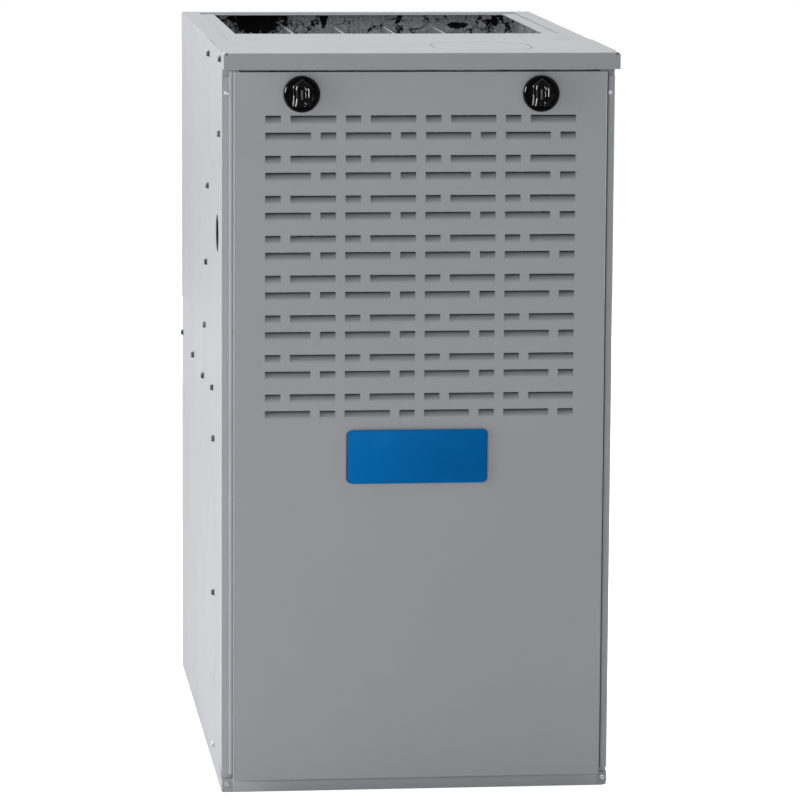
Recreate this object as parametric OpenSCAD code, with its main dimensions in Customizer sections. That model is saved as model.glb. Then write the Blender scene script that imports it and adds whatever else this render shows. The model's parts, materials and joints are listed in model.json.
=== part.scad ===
/* [Cabinet] */
// Width of the cabinet
case_w = 445; // [400:1:620]
// Depth of the cabinet from the front flanges to the back
case_d = 711; // [660:1:860]
// Height of the cabinet
case_h = 847; // [800:1:1020]
// Thickness of the cabinet's sheet steel
sheet = 1; // [0.8:0.1:1.4]
// Width of the wrapper's front flanges
front_flange = 23; // [18:1:30]
// Width of the wrapper's top flanges
top_flange = 21.5; // [16:0.5:26]
// Width of the wrapper's base flanges
base_flange = 25; // [16:1:32]
// Gap between pieces that are screwed together
seat = 0.2; // [0.1:0.05:0.4]

// Width of the raised hems beside the door
hem_w = 10.6; // [8:0.2:11]
// How far the hems stand ahead of the flanges
hem_t = 1.5; // [1:0.1:3]
// How far below the lip's lower edge the hems stop
hem_drop = 10; // [4:0.5:20]

/* [Cap] */
// How far the lip stands ahead of the front flanges
lip_d = 38; // [30:1:50]
// Height of the lip
lip_h = 18.7; // [14:0.1:30]
// How far back the cap reaches
cap_back = 175; // [150:1:200]
// Diameter of the vent knock-out
vent_ko_d = 114; // [90:1:127]
// How much longer than wide the vent knock-out is
vent_ko_slot = 32; // [20:1:40]
// Vent centre to the right of the middle
vent_x = 78.4; // [60:0.2:90]
// Vent knock-out's middle behind the front flanges
vent_ko_y = 68.5; // [64:0.5:80]

/* [Outlet] */
// Front edge of the supply outlet behind the front flanges
outlet_y = 298; // [280:1:320]
// Width of the frame around the supply outlet
outlet_frame_w = 38.5; // [32:0.5:50]
// Depth of the outlet frame's turned edges
outlet_turn = 32; // [24:1:40]
// Thickness of the foil-faced liner in the supply space
liner_t = 12; // [6:1:16]

/* [Door] */
// Width of the visible flange beside the door
door_reveal = 12.5; // [8:0.5:16]
// Gap between the door and the lip
door_top_gap = 3.6; // [2:0.1:8]
// Height of the door's lower edge
door_z = 18; // [17:0.5:30]
// How far the door stands ahead of the flanges
door_proud = 24; // [18:0.5:30]
// Thickness of the liner behind the door
door_liner_t = 12; // [6:1:16]
// Radius of the door's upright edges
door_edge_r = 1.5; // [1.5:0.5:3]
// Depth of the door's hemmed edge
door_hem = 4; // [4:0.5:8]
// How far the door's return is set in behind its edge
door_set_in = 6; // [4:0.5:7]
// Number of pairs of louver rows
louver_pairs = 8; // [2:1:8]
// Distance from one pair of louver rows to the next
louver_step = 44.9; // [40:0.1:60]
// Short louver length
louver_short = 19.2; // [12:0.2:24]
// Long louver length
louver_long = 53; // [40:0.2:60]
// Gap between louvers in a row
louver_gap = 9; // [8:0.2:16]
// Number of short and long louver pairs in a row
louver_periods = 4; // [2:1:4]
// Height of a louver
louver_h = 9; // [6:0.5:12]
// How far a louver is pressed in
louver_press = 5; // [3:0.5:8]
// Height of the slit above a louver
louver_slit = 1.4; // [1:0.1:3]
// Distance from the door's upper edge to the first louver row
louver_top = 48.4; // [44:0.1:60]

/* [Latches] */
// Latch centres to each side of the middle
latch_x = 134.7; // [100:0.5:150]
// Latch centres below the door's upper edge
latch_drop = 24.3; // [22:0.1:28]
// Diameter of the latch dish
latch_d = 41; // [34:0.5:44]
// Depth of the latch dish ahead of the door
latch_proud = 12.5; // [8:0.5:13.5]
// Diameter of the latch shaft
latch_shaft_d = 9; // [7:0.5:11]
// Length of the latch wing
latch_wing = 24; // [20:1:30]

/* [Base and deck] */
// Height of the bottom rail
rail_h = 15.5; // [12:0.5:16.5]
// How far the bottom rail stands ahead of the flanges
rail_proud = 4; // [2:0.5:10]
// Height of the blower deck
deck_z = 430; // [425:1:460]
// Thickness of the deck, the vestibule panel and the rails
plate = 1.2; // [1:0.1:1.6]
// Vestibule panel behind the front flanges
vest_y = 238; // [236:1:250]
// Blower door behind the front flanges
inner_y = 104; // [96:1:112]

/* [Heat exchanger] */
// Distance from one cell to the next
cell_pitch = 63; // [56:0.5:66]
// Half thickness of the first pass of a cell
pass_t = 22; // [16:0.5:24]
// Half height of the first pass
pass_a = 34; // [28:0.5:36]
// Height of the first pass above the deck
pass_z = 130; // [120:1:140]
// Gap between the cells and the liner at the back
cell_back_gap = 6; // [2:1:40]
// How far below the top the cells' seam ends
cell_top = 18; // [14:1:30]

/* [Gas train] */
// Diameter of the gas pipe entry in the left side
gas_entry_d = 42.5; // [35:0.5:50]
// Gas pipe entry behind the front flanges
gas_y = 66.6; // [56:0.2:72]
// Gas pipe entry below the top of the cabinet
gas_drop = 212.1; // [200:0.1:230]
// Bore of the gas valve's inlet
inlet_bore_d = 18.6; // [15:0.2:22]
// Depth of the gas valve's inlet
inlet_depth = 15; // [12:1:20]
// Diameter of the manifold pipe
manifold_d = 22; // [18:1:26]

/* [Draft inducer] */
// Diameter of the inducer wheel
ind_wheel_d = 112; // [96:1:120]
// Width of the inducer wheel
ind_wheel_w = 22; // [16:1:26]
// Number of inducer wheel blades
ind_blades = 12; // [8:1:16]
// Diameter of the vent collar
vent_d = 76; // [70:1:80]

/* [Blower] */
// Diameter of the blower wheel
wheel_d = 254; // [220:1:270]
// Width of the blower wheel
wheel_w = 203; // [160:1:230]
// Number of blower wheel blades
wheel_blades = 40; // [24:2:44]
// Radial depth of a blade
blade_d = 20; // [16:1:26]
// Diameter of the blower shaft
shaft_d = 12.7; // [10:0.1:14]
// Diameter of the blower motor
motor_d = 140; // [120:1:150]
// Length of the blower motor
motor_l = 100; // [80:1:120]

/* [Screws] */
// Diameter of a screw's washer face
head_d = 8; // [6.5:0.5:9]
// Width of a screw's hexagon across its flats
head_af = 6; // [5:0.1:6.4]
// Height of a screw's head
head_h = 3.2; // [2:0.1:3.6]
// Diameter of a screw shank
shank_d = 4; // [3:0.2:4.4]

/* [Hidden] */
$fn = 64;
hw = case_w / 2;
// top face of the wrapper, under the cap
top_z = case_h - sheet;
// front flange plane in the part's frame, whose origin is under the middle of the whole
yf = lip_d - (case_d + lip_d) / 2;
// centre and radius of the scored corner low in each side
score_y = 180;
score_z = 191;
score_r = 100;
// inner radius of the folded bends
bend_in = 0.5;
// inside faces of the wrapper, less the seat gap
in_x = hw - sheet - seat;
in_y = case_d - sheet - seat;
frame_z = top_z - sheet - seat;
door_hw = hw - door_reveal;
door_top = case_h - lip_h - door_top_gap;
latch_z = door_top - latch_drop;
keeper_z = latch_z + 12;
gas_z = case_h - gas_drop;
outlet_x = hw - outlet_frame_w;
outlet_back = case_d - outlet_frame_w + 1.5;
screw_z = deck_z + 8.4;
// side screws and the plain round marks beside them: distance from the flanges, height
side_screw_at = [
    [10.5, case_h - 9.8], [194.8, case_h - 17.1], [23, case_h - 95],
    [209.6, case_h - 172.1], [vest_y, deck_z + 152], [vest_y + 26.7, deck_z + 73.7],
    [case_d - 25.3, screw_z], [case_d - 233.6, screw_z], [vest_y + 58, screw_z],
    [135, screw_z + 9], [inner_y + 13, deck_z - 39.5], [inner_y + 13, deck_z / 2 - 5.6],
    [inner_y + 13, 29.3]];
pilot_at = [[11.6, case_h - 56], [32.4, 88.8], [55, case_h - 183]];
knock_out_at = [[22, case_h - 137.3], [130, case_h - 146]];
front_screw_z = latch_z - 1.1;

// heat exchanger
cell_d = in_y - plate - seat - liner_t - cell_back_gap - vest_y;
pass_step = (case_h - cell_top - pass_a - 1 - deck_z - pass_z) / 3;
cell_x = [for (i = [0:3]) (i - 1.5) * cell_pitch];
pass_h = [for (i = [0:3]) deck_z + pass_z + i * pass_step];
half_h = [for (i = [0:3]) pass_a * (1 - 0.12 * i)];
half_t = [for (i = [0:3]) pass_t * (1 - 0.12 * i)];
cell_y0 = vest_y + plate + seat;
turn_back = vest_y + cell_d - pass_step / 2 - pass_a - 8;
turn_front = vest_y + pass_step / 2 + pass_a + 4;

// gas train
valve_w = 66;
valve_x = -118;
manifold_y = gas_y + 14;
manifold_z = pass_h[0];

// draft inducer: wheel axis and flow
ind_x = vent_x - 58;
ind_z = case_h - 142;
vent_y = vent_ko_y + vent_ko_slot / 2;
ind_r0 = ind_wheel_d / 2 + 8;
ind_r1 = ind_wheel_d / 2 + 34;
ind_hd = 24;
col_front = vent_y + ind_hd + seat;
col_top = pass_h[3] + 22;
ind_top = col_top + 2;

// blower
blow_y = case_d - 281;
blow_z = deck_z - 215;
wheel_r = wheel_d / 2;
vol_r0 = wheel_r + 12;
vol_r1 = wheel_r + 74;
blow_hw = wheel_w / 2 + 16;
mouth_r = wheel_r - 14;
mouth_y = blow_y - 20;

module at_flange() translate([0, yf, 0]) children();
// box between two opposite corners
module bx(a, b) translate(a) cube(b - a);
// straight rod along each axis from a start point
module rod_x(p, r, l) translate(p) rotate([0, 90, 0]) cylinder(r = r, h = l);
module rod_y(p, r, l) translate(p) rotate([-90, 0, 0]) cylinder(r = r, h = l);
module rod_z(p, r, l) translate(p) cylinder(r = r, h = l);
// outline drawn in distance from the flanges and height, made thick across the cabinet
module slab_x(x0, x1) translate([x0, 0, 0]) rotate([90, 0, 90])
    linear_extrude(x1 - x0) children();
// outline drawn in width and height, made thick towards the back
module slab_y(y0, y1) translate([0, y1, 0]) rotate([90, 0, 0])
    linear_extrude(y1 - y0) children();
module both() { children(); mirror([1, 0, 0]) children(); }
// flat bar with round ends
module obround(w, l) {
    for (s = [-1, 1]) translate([0, s * (l - w) / 2]) circle(d = w);
    square([w, l - w], center = true);
}
// rectangle with round corners
module soft_rect(x0, y0, x1, y1, r) {
    for (x = [x0 + r, x1 - r], y = [y0 + r, y1 - r]) translate([x, y]) circle(r = r);
    translate([x0 + r, y0]) square([x1 - x0 - 2 * r, y1 - y0]);
    translate([x0, y0 + r]) square([x1 - x0, y1 - y0 - 2 * r]);
}
// screw with a low domed head, its head's seat at the start point, pointing along +Z
module screw(l, s = 1) {
    cylinder(d = shank_d, h = l);
    // washer face and hexagon
    translate([0, 0, -0.9 * s]) cylinder(d = head_d * s, h = 0.9 * s);
    translate([0, 0, -head_h * s]) intersection() {
        linear_extrude(head_h * s) polygon([for (i = [0:5])
            [cos(i * 60), sin(i * 60)] * head_af * s / sqrt(3)]);
        translate([0, 0, head_af * 1.06 * s]) sphere(r = head_af * 1.12 * s);
    }
}

module casing_wrapper() color("gainsboro") at_flange() difference() {
    union() {
        // folded sheet: its upright bends are rounded
        linear_extrude(top_z) soft_rect(-hw, 0, hw, case_d, sheet + bend_in);
        // raised hems beside the door, which stop short of the lip and the bottom rail
        both() translate([0, 0, rail_h + 0.6]) linear_extrude(case_h - lip_h - hem_drop - rail_h - 0.6)
            soft_rect(hw - hem_w, -hem_t, hw, sheet, hem_t * 0.6);
    }
    translate([0, 0, sheet]) linear_extrude(top_z - 2 * sheet)
        soft_rect(-hw + sheet, sheet, hw - sheet, case_d - sheet, bend_in);
    bx([-hw + front_flange, -1, -1], [hw - front_flange, sheet + 1, top_z + 1]);
    bx([-hw + top_flange, -1, top_z - sheet - 1],
       [hw - top_flange, case_d - top_flange, top_z + 1]);
    // the side's upper edges are bare under the cap
    bx([-hw + sheet, -1, top_z - sheet], [hw - sheet, cap_back + seat, top_z + 1]);
    bx([-hw - 1, -1, top_z - seat], [hw + 1, cap_back + seat, top_z + 1]);
    bx([-hw + base_flange, -1, -1],
       [hw - base_flange, case_d - base_flange, sheet + 1]);
    // notch and slit over the bottom rail's ends
    both() slab_x(hw - 2, hw + 1) polygon([[-3, rail_h + 0.1], [-3, rail_h + 5], [2, rail_h + 5],
        [42, rail_h + 12], [42, rail_h + 11], [5, rail_h + 0.1]]);
    // scored corner of the return air knock-out
    both() translate([hw - sheet * 0.4, score_y, score_z]) rotate([0, 90, 0]) rotate(-90)
        rotate_extrude(angle = 73) translate([score_r - 0.6, 0]) square([1.2, 1]);
    rod_x([-hw - 1, gas_y, gas_z], gas_entry_d / 2, sheet + 2);
    both() {
        for (p = side_screw_at) rod_x([hw - sheet - 1, p[0], p[1]], shank_d / 2 + 0.2, sheet + 2);
        for (p = pilot_at) rod_x([hw - sheet - 1, p[0], p[1]], 1.6, sheet + 2);
        for (p = knock_out_at) translate([hw - sheet * 0.4, p[0], p[1]]) rotate([0, 90, 0])
            difference() {
                cylinder(d = 22, h = 1);
                translate([0, 0, -1]) cylinder(d = 20.8, h = 3);
            }
        rod_y([hw - 5.5, -hem_t - 1, front_screw_z], shank_d / 2 + 0.2, sheet + hem_t + 2);
        rod_y([hw - 5.5, -1, rail_h * 0.6], shank_d / 2 + 0.2, sheet + 2);
    }
}

module top_cap() color("lightgray") at_flange() difference() {
    union() {
        bx([-hw, 0, top_z], [hw, cap_back, case_h]);
        // lip: round upper corners and a rounded front bend, closed ends
        intersection() {
            slab_y(-lip_d, 0) union() {
                translate([-hw, case_h - lip_h]) square([case_w, lip_h - 3]);
                soft_rect(-hw, case_h - lip_h, hw, case_h, 3);
            }
            slab_x(-hw, hw) union() {
                translate([-lip_d, case_h - lip_h]) square([lip_d, lip_h - 3]);
                soft_rect(-lip_d, case_h - lip_h / 2, 6, case_h, sheet + bend_in);
                translate([-lip_d + 3, case_h - lip_h]) square([lip_d - 3, lip_h]);
            }
        }
    }
    bx([-hw + sheet, -lip_d + sheet, case_h - lip_h + sheet], [hw - sheet, 1, top_z]);
    // bend reliefs in the lip's upper corners
    both() bx([hw - 4.5, -lip_d - 1, case_h - 2.6], [hw - 2.5, -lip_d + 3, case_h + 1]);
    // the lip's lower edge turns back and stops over the door
    bx([-hw + sheet, -lip_d + 13, case_h - lip_h - 1], [hw - sheet, 1, case_h - lip_h + 2]);
    // slit in the left edge
    bx([-hw - 1, cap_back / 2, top_z - 1], [-hw + 1.2, cap_back - 12, case_h + 1]);
    // small slots by the rear edge
    for (x = [[-185.5, -160], [178, 194.6]])
        bx([x[0] / 222.5 * hw, cap_back - 4, top_z - 1], [x[1] / 222.5 * hw, cap_back - 2.4, case_h + 1]);
    // vent knock-out outline
    translate([vent_x, vent_ko_y, case_h - sheet * 0.7]) linear_extrude(1) difference() {
        obround(vent_ko_d, vent_ko_d + vent_ko_slot);
        obround(vent_ko_d - 3, vent_ko_d + vent_ko_slot - 3);
    }
}

module top_filler_panel() color("lightgray") at_flange()
    bx([-hw + top_flange + 0.3, cap_back - 20, frame_z],
       [hw - top_flange - 0.3, outlet_y - 3, top_z]);

module outlet_frame() color("silver") at_flange() difference() {
    // flat frame with its sides and back turned down
    bx([-in_x, cap_back - 24, frame_z - outlet_turn], [in_x, in_y, frame_z]);
    bx([-in_x + plate, cap_back - 30, frame_z - 90], [in_x - plate, in_y - plate, frame_z - plate]);
    bx([-outlet_x, outlet_y, frame_z - 50], [outlet_x, outlet_back, frame_z + 1]);
    both() rod_x([in_x - 3, 194.8, case_h - 17.1], shank_d / 2 + 0.1, 5);
}

module upper_cross_rail() color("silver") at_flange() difference() {
    union() {
        slab_y(sheet + seat, sheet + seat + plate) polygon([
            [-in_x, keeper_z - 70], [-in_x + 20, keeper_z - 70], [-in_x + 20, keeper_z],
            [in_x - 20, keeper_z], [in_x - 20, keeper_z - 70], [in_x, keeper_z - 70],
            [in_x, frame_z], [-in_x, frame_z]]);
        bx([-in_x, sheet + seat, frame_z - plate], [in_x, 24, frame_z]);
        both() bx([in_x - plate, sheet + seat, keeper_z - 70], [in_x, 34, frame_z]);
    }
    both() {
        rod_y([hw - 5.5, -1, front_screw_z], shank_d / 2 + 0.1, 6);
        for (i = [0, 2]) rod_x([in_x - 3, side_screw_at[i][0], side_screw_at[i][1]], shank_d / 2 + 0.1, 5);
        rod_x([in_x - 3, pilot_at[0][0], pilot_at[0][1]], 1.6, 5);
    }
}

module bottom_rail() color("gray") at_flange() difference() {
    slab_y(-rail_proud, -seat) {
        soft_rect(-hw + 0.5, 0, hw - 0.5, rail_h, 5);
        translate([-hw + 0.5, 0]) square([20, rail_h]);
        translate([-hw + 0.5, 5]) square([case_w - 1, rail_h - 5]);
    }
    bx([-hw + 0.5 + sheet, -rail_proud + sheet, sheet], [hw - 8, 1, rail_h - sheet]);
    both() rod_y([hw - 5.5, -10, rail_h * 0.6], shank_d / 2 + 0.2, 20);
}

module base_pan() color("silver") at_flange() difference() {
    bx([-in_x, sheet + seat, sheet + seat], [in_x, in_y, 22]);
    bx([-in_x + plate, sheet + seat + plate, sheet + seat + plate], [in_x - plate, in_y - plate, 30]);
    bx([-hw + 55, 70, 0], [hw - 55, case_d - 60, 10]);
    both() {
        rod_x([in_x - 3, 32.4, 88.8], 1.6, 5);
        rod_y([hw - 5.5, -1, rail_h * 0.6], shank_d / 2 + 0.1, 6);
    }
}

module bottom_closure() color("silver") at_flange() {
    z = sheet + seat + plate + seat;
    bx([-hw + 40, 55, z], [hw - 40, case_d - 45, z + sheet]);
    for (y = [case_d * 0.3, case_d * 0.5, case_d * 0.7]) difference() {
        rod_x([-hw + 70, y, z], 7, case_w - 140);
        bx([-hw + 60, y - 8, z - 8], [hw - 60, y + 8, z + 0.5]);
    }
}

module blower_deck() color("silver") at_flange() difference() {
    union() {
        bx([-in_x, inner_y, deck_z], [in_x, in_y, deck_z + plate]);
        // turned edges: up at the sides and the back, down at the front
        both() bx([in_x - plate, inner_y + 2, deck_z], [in_x, in_y, deck_z + 24]);
        bx([-in_x, in_y - plate, deck_z], [in_x, in_y, deck_z + 24]);
        bx([-in_x, inner_y, deck_z - 16], [in_x, inner_y + plate, deck_z]);
    }
    bx([-blow_hw, blow_y - vol_r1, deck_z - 1], [blow_hw, mouth_y, deck_z + 2]);
    both() for (i = [6:9])
        rod_x([in_x - 3, side_screw_at[i][0], side_screw_at[i][1]], shank_d / 2 + 0.1, 5);
}

module vestibule_panel() color("silver") at_flange() difference() {
    union() {
        bx([-in_x + plate + seat, vest_y, deck_z + plate + seat],
           [in_x - plate - seat, vest_y + plate, frame_z - plate - seat]);
        // slanted side plates that take the side screws
        both() slab_x(in_x - plate * 2 - 0.2, in_x - plate - 0.2) polygon([
            [200, case_h - 147], [220, case_h - 147], [vest_y + 12, case_h - 240],
            [vest_y + 38, deck_z + 90], [vest_y + 38, deck_z + plate + seat],
            [vest_y, deck_z + plate + seat], [vest_y, deck_z + 130], [200, case_h - 190]]);
    }
    for (x = cell_x) {
        rod_y([x, vest_y - 1, pass_h[0]], 19, plate + 2);
        rod_y([x, vest_y - 1, pass_h[3]], 9, plate + 2);
    }
    both() for (i = [3:5])
        rod_x([in_x - 8, side_screw_at[i][0], side_screw_at[i][1]], shank_d / 2 + 0.2, 10);
}

module blower_door_rails() color("silver") at_flange() both() difference() {
    union() {
        bx([in_x - plate, inner_y + 1.4, 24], [in_x, inner_y + 26, deck_z - 17]);
        bx([in_x - 22, inner_y + 1.4, 24], [in_x, inner_y + 1.4 + plate, deck_z - 17]);
    }
    for (i = [10:12])
        rod_x([in_x - 3, side_screw_at[i][0], side_screw_at[i][1]], shank_d / 2 + 0.1, 5);
}

module blower_door() color("gainsboro") at_flange() difference() {
    union() {
        bx([-in_x + 3, inner_y - plate - seat, 26], [in_x - 3, inner_y - seat, deck_z - 4]);
        // folded upper and lower edges
        bx([-in_x + 3, inner_y - 14, 26], [in_x - 3, inner_y - seat, 26 + plate]);
        bx([-in_x + 3, inner_y - 14, deck_z - 4 - plate], [in_x - 3, inner_y - seat, deck_z - 4]);
    }
    for (x = [-in_x + 12, in_x - 12], z = [60, deck_z - 60])
        rod_y([x, inner_y - 5, z], shank_d / 2 + 0.2, 10);
    // sight window for the board's light
    rod_y([-hw * 0.45, inner_y - 5, deck_z - 90], 14, 10);
}

module outlet_liner() color("darkgray") at_flange() difference() {
    // foil-faced blanket on the back and both sides above the deck
    x = in_x - plate - seat;
    y = in_y - plate - seat;
    bx([-x, vest_y + plate + 44, deck_z + plate + seat], [x, y, frame_z - plate - seat]);
    bx([-x + liner_t, vest_y + plate + 1, deck_z], [x - liner_t, y - liner_t, frame_z]);
    // screw tips
    both() for (i = [6:8]) rod_x([hw - 9, side_screw_at[i][0], side_screw_at[i][1]], shank_d / 2 + 0.2, 9);
}

module side_screws() color("lightgray") at_flange() {
    both() for (p = side_screw_at) translate([hw, p[0], p[1]]) rotate([0, -90, 0]) screw(7);
}

module front_screws() color("lightgray") at_flange() {
    both() {
        translate([hw - 5.5, -hem_t, front_screw_z]) rotate([-90, 0, 0]) screw(7.5, 0.7);
        translate([hw - 5.5, -rail_proud, rail_h * 0.6]) rotate([-90, 0, 0]) screw(9, 0.7);
    }
}

// section of a pass: two equal arcs that meet at the seam
module lens(a, t) {
    r = (a * a + t * t) / (2 * t);
    intersection() {
        translate([r - t, 0]) circle(r = r);
        translate([t - r, 0]) circle(r = r);
    }
}
module pass(i, y0, y1) translate([0, y1, pass_h[i]]) rotate([90, 0, 0])
    linear_extrude(y1 - y0) lens(half_h[i], half_t[i]);
// half-round turn between two passes; s is 1 at the back and -1 at the front
module turn(i, y, s) translate([0, y, (pass_h[i] + pass_h[i + 1]) / 2])
    mirror([0, s < 0 ? 1 : 0, 0]) rotate([0, 90, 0]) rotate_extrude(angle = 180)
        translate([pass_step / 2, 0]) rotate(90)
            lens((half_h[i] + half_h[i + 1]) / 2, (half_t[i] + half_t[i + 1]) / 2);
// clamshell cell: two pressed halves crimped on one seam, four passes
module cell(i) color("lightslategray") at_flange() translate([cell_x[i], 0, 0]) difference() {
    union() {
        slab_x(-plate, plate)
            soft_rect(cell_y0, pass_h[0] - pass_a - 12, vest_y + cell_d, case_h - cell_top, 12);
        pass(0, cell_y0, turn_back);
        pass(1, turn_front, turn_back);
        pass(2, turn_front, turn_back);
        pass(3, cell_y0, turn_back);
        turn(0, turn_back, 1);
        turn(1, turn_front, -1);
        turn(2, turn_back, 1);
    }
    rod_y([0, cell_y0 - 1, pass_h[0]], pass_t - 3.4, 70);
    rod_y([0, cell_y0 - 1, pass_h[3]], half_t[3] - 3.4, 40);
}
module cell_1() cell(0);
module cell_2() cell(1);
module cell_3() cell(2);
module cell_4() cell(3);

// pressed sheet box, open at the back over the cells' outlets
module collector_box() color("silver") at_flange() difference() {
    x = cell_x[3] + 24;
    z = ind_z - 36;
    union() {
        bx([-x, col_front, z], [x, vest_y - seat, col_top]);
        bx([-x - 10, vest_y - seat - plate, z - 10], [x + 10, vest_y - seat, col_top + 6]);
    }
    bx([-x + plate, col_front + plate, z + plate], [x - plate, vest_y, col_top - plate]);
    rod_y([ind_x, col_front - 1, ind_z], 30, plate + 2);
    rod_x([x - plate - 1, vest_y - 60, ind_z + 10], 2, plate + 2);
}

// tray round the burners: closed front with four round openings
module burner_box() color("silver") at_flange() difference() {
    x = cell_x[3] + 28;
    z0 = pass_h[0] - 32;
    z1 = pass_h[0] + 32;
    bx([-x, vest_y - 118, z0], [x, vest_y - seat, z1]);
    bx([-x + plate, vest_y - 118 + plate, z0 + plate], [x - plate, vest_y + 1, z1 - plate]);
    for (c = cell_x) rod_y([c, vest_y - 120, pass_h[0]], 15.5, 6);
    // flame sensor and igniter holes
    both() rod_z([cell_x[3] + 12, vest_y - 24, z1 - 3], 3.4, 5);
}

// inshot burner: bell mouth, throat and flared head, with carry-over wings from head to head
module inshot_burners() color("darkgray") at_flange() {
    y0 = vest_y - 128;
    x = cell_x[3] + 28 - plate - seat;
    for (c = cell_x) translate([c, y0, pass_h[0]]) rotate([-90, 0, 0]) rotate_extrude()
        polygon([[13, 0], [15, 0], [11.6, 14], [10.4, 30], [12.6, 62], [14.6, 92], [17, 106],
                 [17, 127.7], [15.6, 127.7], [15.6, 107], [13.2, 93], [11.2, 62], [9, 30], [10.2, 14]]);
    difference() {
        bx([-x, y0 + 113, pass_h[0] - 5], [x, y0 + 126, pass_h[0] + 5]);
        bx([-x - 1, y0 + 114, pass_h[0] - 3.8], [x + 1, y0 + 128, pass_h[0] + 3.8]);
        for (c = cell_x) rod_y([c, y0 + 100, pass_h[0]], 16.4, 40);
    }
}

module gas_manifold() color("dimgray") at_flange() {
    x0 = valve_x - 18;
    x1 = cell_x[3] + 24;
    rod_x([x0, manifold_y, manifold_z], manifold_d / 2, x1 - x0);
    for (x = [x0 - 5, x1 - 5]) rod_x([x, manifold_y, manifold_z], manifold_d / 2 + 3, 10);
    for (c = cell_x) rod_y([c, manifold_y, manifold_z], 8, manifold_d / 2 + 5);
    // riser into the valve's outlet
    rod_z([valve_x, manifold_y, manifold_z], manifold_d / 2 - 1, gas_z - 23 - seat - manifold_z);
    // arms to the burner box
    both() bx([cell_x[3] + 18, manifold_y, manifold_z - 10],
              [cell_x[3] + 18 + plate * 2, vest_y - 118 - seat, manifold_z + 10]);
}

module gas_orifices() color("goldenrod") at_flange() for (c = cell_x) difference() {
    y = manifold_y + manifold_d / 2 + 5 + seat;
    union() {
        translate([c, y, manifold_z]) rotate([-90, 0, 0]) cylinder(r = 7, h = 5, $fn = 6);
        rod_y([c, y + 5, manifold_z], 4, 5);
    }
    rod_y([c, y - 1, manifold_z], 0.9, 12);
}

// cast valve body with inlet and outlet bosses, coil cover and regulator cap
module gas_valve() color("silver") at_flange() difference() {
    union() {
        translate([valve_x, gas_y, gas_z - 23]) linear_extrude(46)
            soft_rect(-valve_w / 2, -25, valve_w / 2, 25, 5);
        rod_x([valve_x - valve_w / 2 - 14, gas_y, gas_z], 15, 16);
        translate([valve_x + 6, gas_y + 4, gas_z + 23]) linear_extrude(16)
            soft_rect(-20, -16, 20, 16, 3);
        rod_z([valve_x - 24, gas_y - 6, gas_z + 23], 6.5, 12);
        rod_y([valve_x + 22, gas_y - 31, gas_z + 6], 6, 8);
    }
    rod_x([valve_x - valve_w / 2 - 15, gas_y, gas_z], inlet_bore_d / 2, inlet_depth + 1);
    // seat of the lever's stem
    rod_y([valve_x - 6, gas_y - 26, gas_z - 4], 3.05, 12);
}

module gas_valve_lever() color("black") at_flange() {
    c = [valve_x - 6, gas_y, gas_z - 4];
    rod_y([c[0], gas_y - 36, c[2]], 3, 20);
    rod_y([c[0], gas_y - 36, c[2]], 10, 10.7);
    translate([c[0], gas_y - 36, c[2]]) rotate([90, 0, 0]) linear_extrude(5)
        soft_rect(-3, -9, 3, 13, 2.5);
}

module igniter() color("ivory") at_flange() {
    z = pass_h[0] + 32 + seat;
    x = cell_x[3] + 12;
    rod_z([x, vest_y - 24, z - 16], 3, 32);
    difference() {
        translate([x, vest_y - 24, z]) linear_extrude(3) soft_rect(-9, -7, 9, 7, 2);
        for (s = [-6.5, 6.5]) rod_z([x + s, vest_y - 24, z - 1], 1.4, 5);
    }
    rod_z([x, vest_y - 24, z + 3], 5, 9);
}

module flame_sensor() color("white") at_flange() {
    z = pass_h[0] + 32 + seat;
    x = -cell_x[3] - 12;
    rod_z([x, vest_y - 24, z - 16], 1.4, 20);
    rod_z([x, vest_y - 24, z], 4.5, 14);
    rod_z([x, vest_y - 24, z + 14], 1.6, 9);
    translate([x, vest_y - 24, z]) linear_extrude(1.5) soft_rect(-8, -6, 8, 6, 2);
}

rollout_x = 46;
rollout_y = vest_y - 70;
rollout_z = pass_h[0] + 32 + seat;
module rollout_switches() color("dimgray") at_flange() both() difference() {
    union() {
        translate([rollout_x, rollout_y, rollout_z]) linear_extrude(1.2) soft_rect(-16, -7, 16, 7, 3);
        rod_z([rollout_x, rollout_y, rollout_z], 8.5, 10);
        for (s = [-1, 1]) bx([rollout_x + s * 6 - 0.4, rollout_y - 3, rollout_z + 9],
                             [rollout_x + s * 6 + 0.4, rollout_y + 3, rollout_z + 18]);
    }
    rod_z([rollout_x, rollout_y, rollout_z + 3], 2.6, 8);
}
module reset_button(s) color("red") at_flange()
    rod_z([s * rollout_x, rollout_y, rollout_z + 5], 2.5, 9);
module reset_button_left() reset_button(-1);
module reset_button_right() reset_button(1);

module limit_switch() color("dimgray") at_flange() {
    c = [cell_x[3] + 70, vest_y - seat, pass_h[1] + 30];
    translate([c[0], c[1], c[2]]) rotate([90, 0, 0]) linear_extrude(1.2) soft_rect(-12, -24, 12, 24, 4);
    rod_y([c[0], c[1] - 12, c[2]], 9.5, 12);
    for (s = [-1, 1])
        bx([c[0] + s * 5 - 0.4, c[1] - 21, c[2] - 3], [c[0] + s * 5 + 0.4, c[1] - 11, c[2] + 3]);
}

// volute outline round its centre, growing from r0 to r1 while it turns
function volute(r0, r1, a0, a1, n) = [for (i = [0:n]) let (a = a0 + (a1 - a0) * i / n,
    r = r0 + (r1 - r0) * i / n) [r * cos(a), r * sin(a)]];

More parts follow.
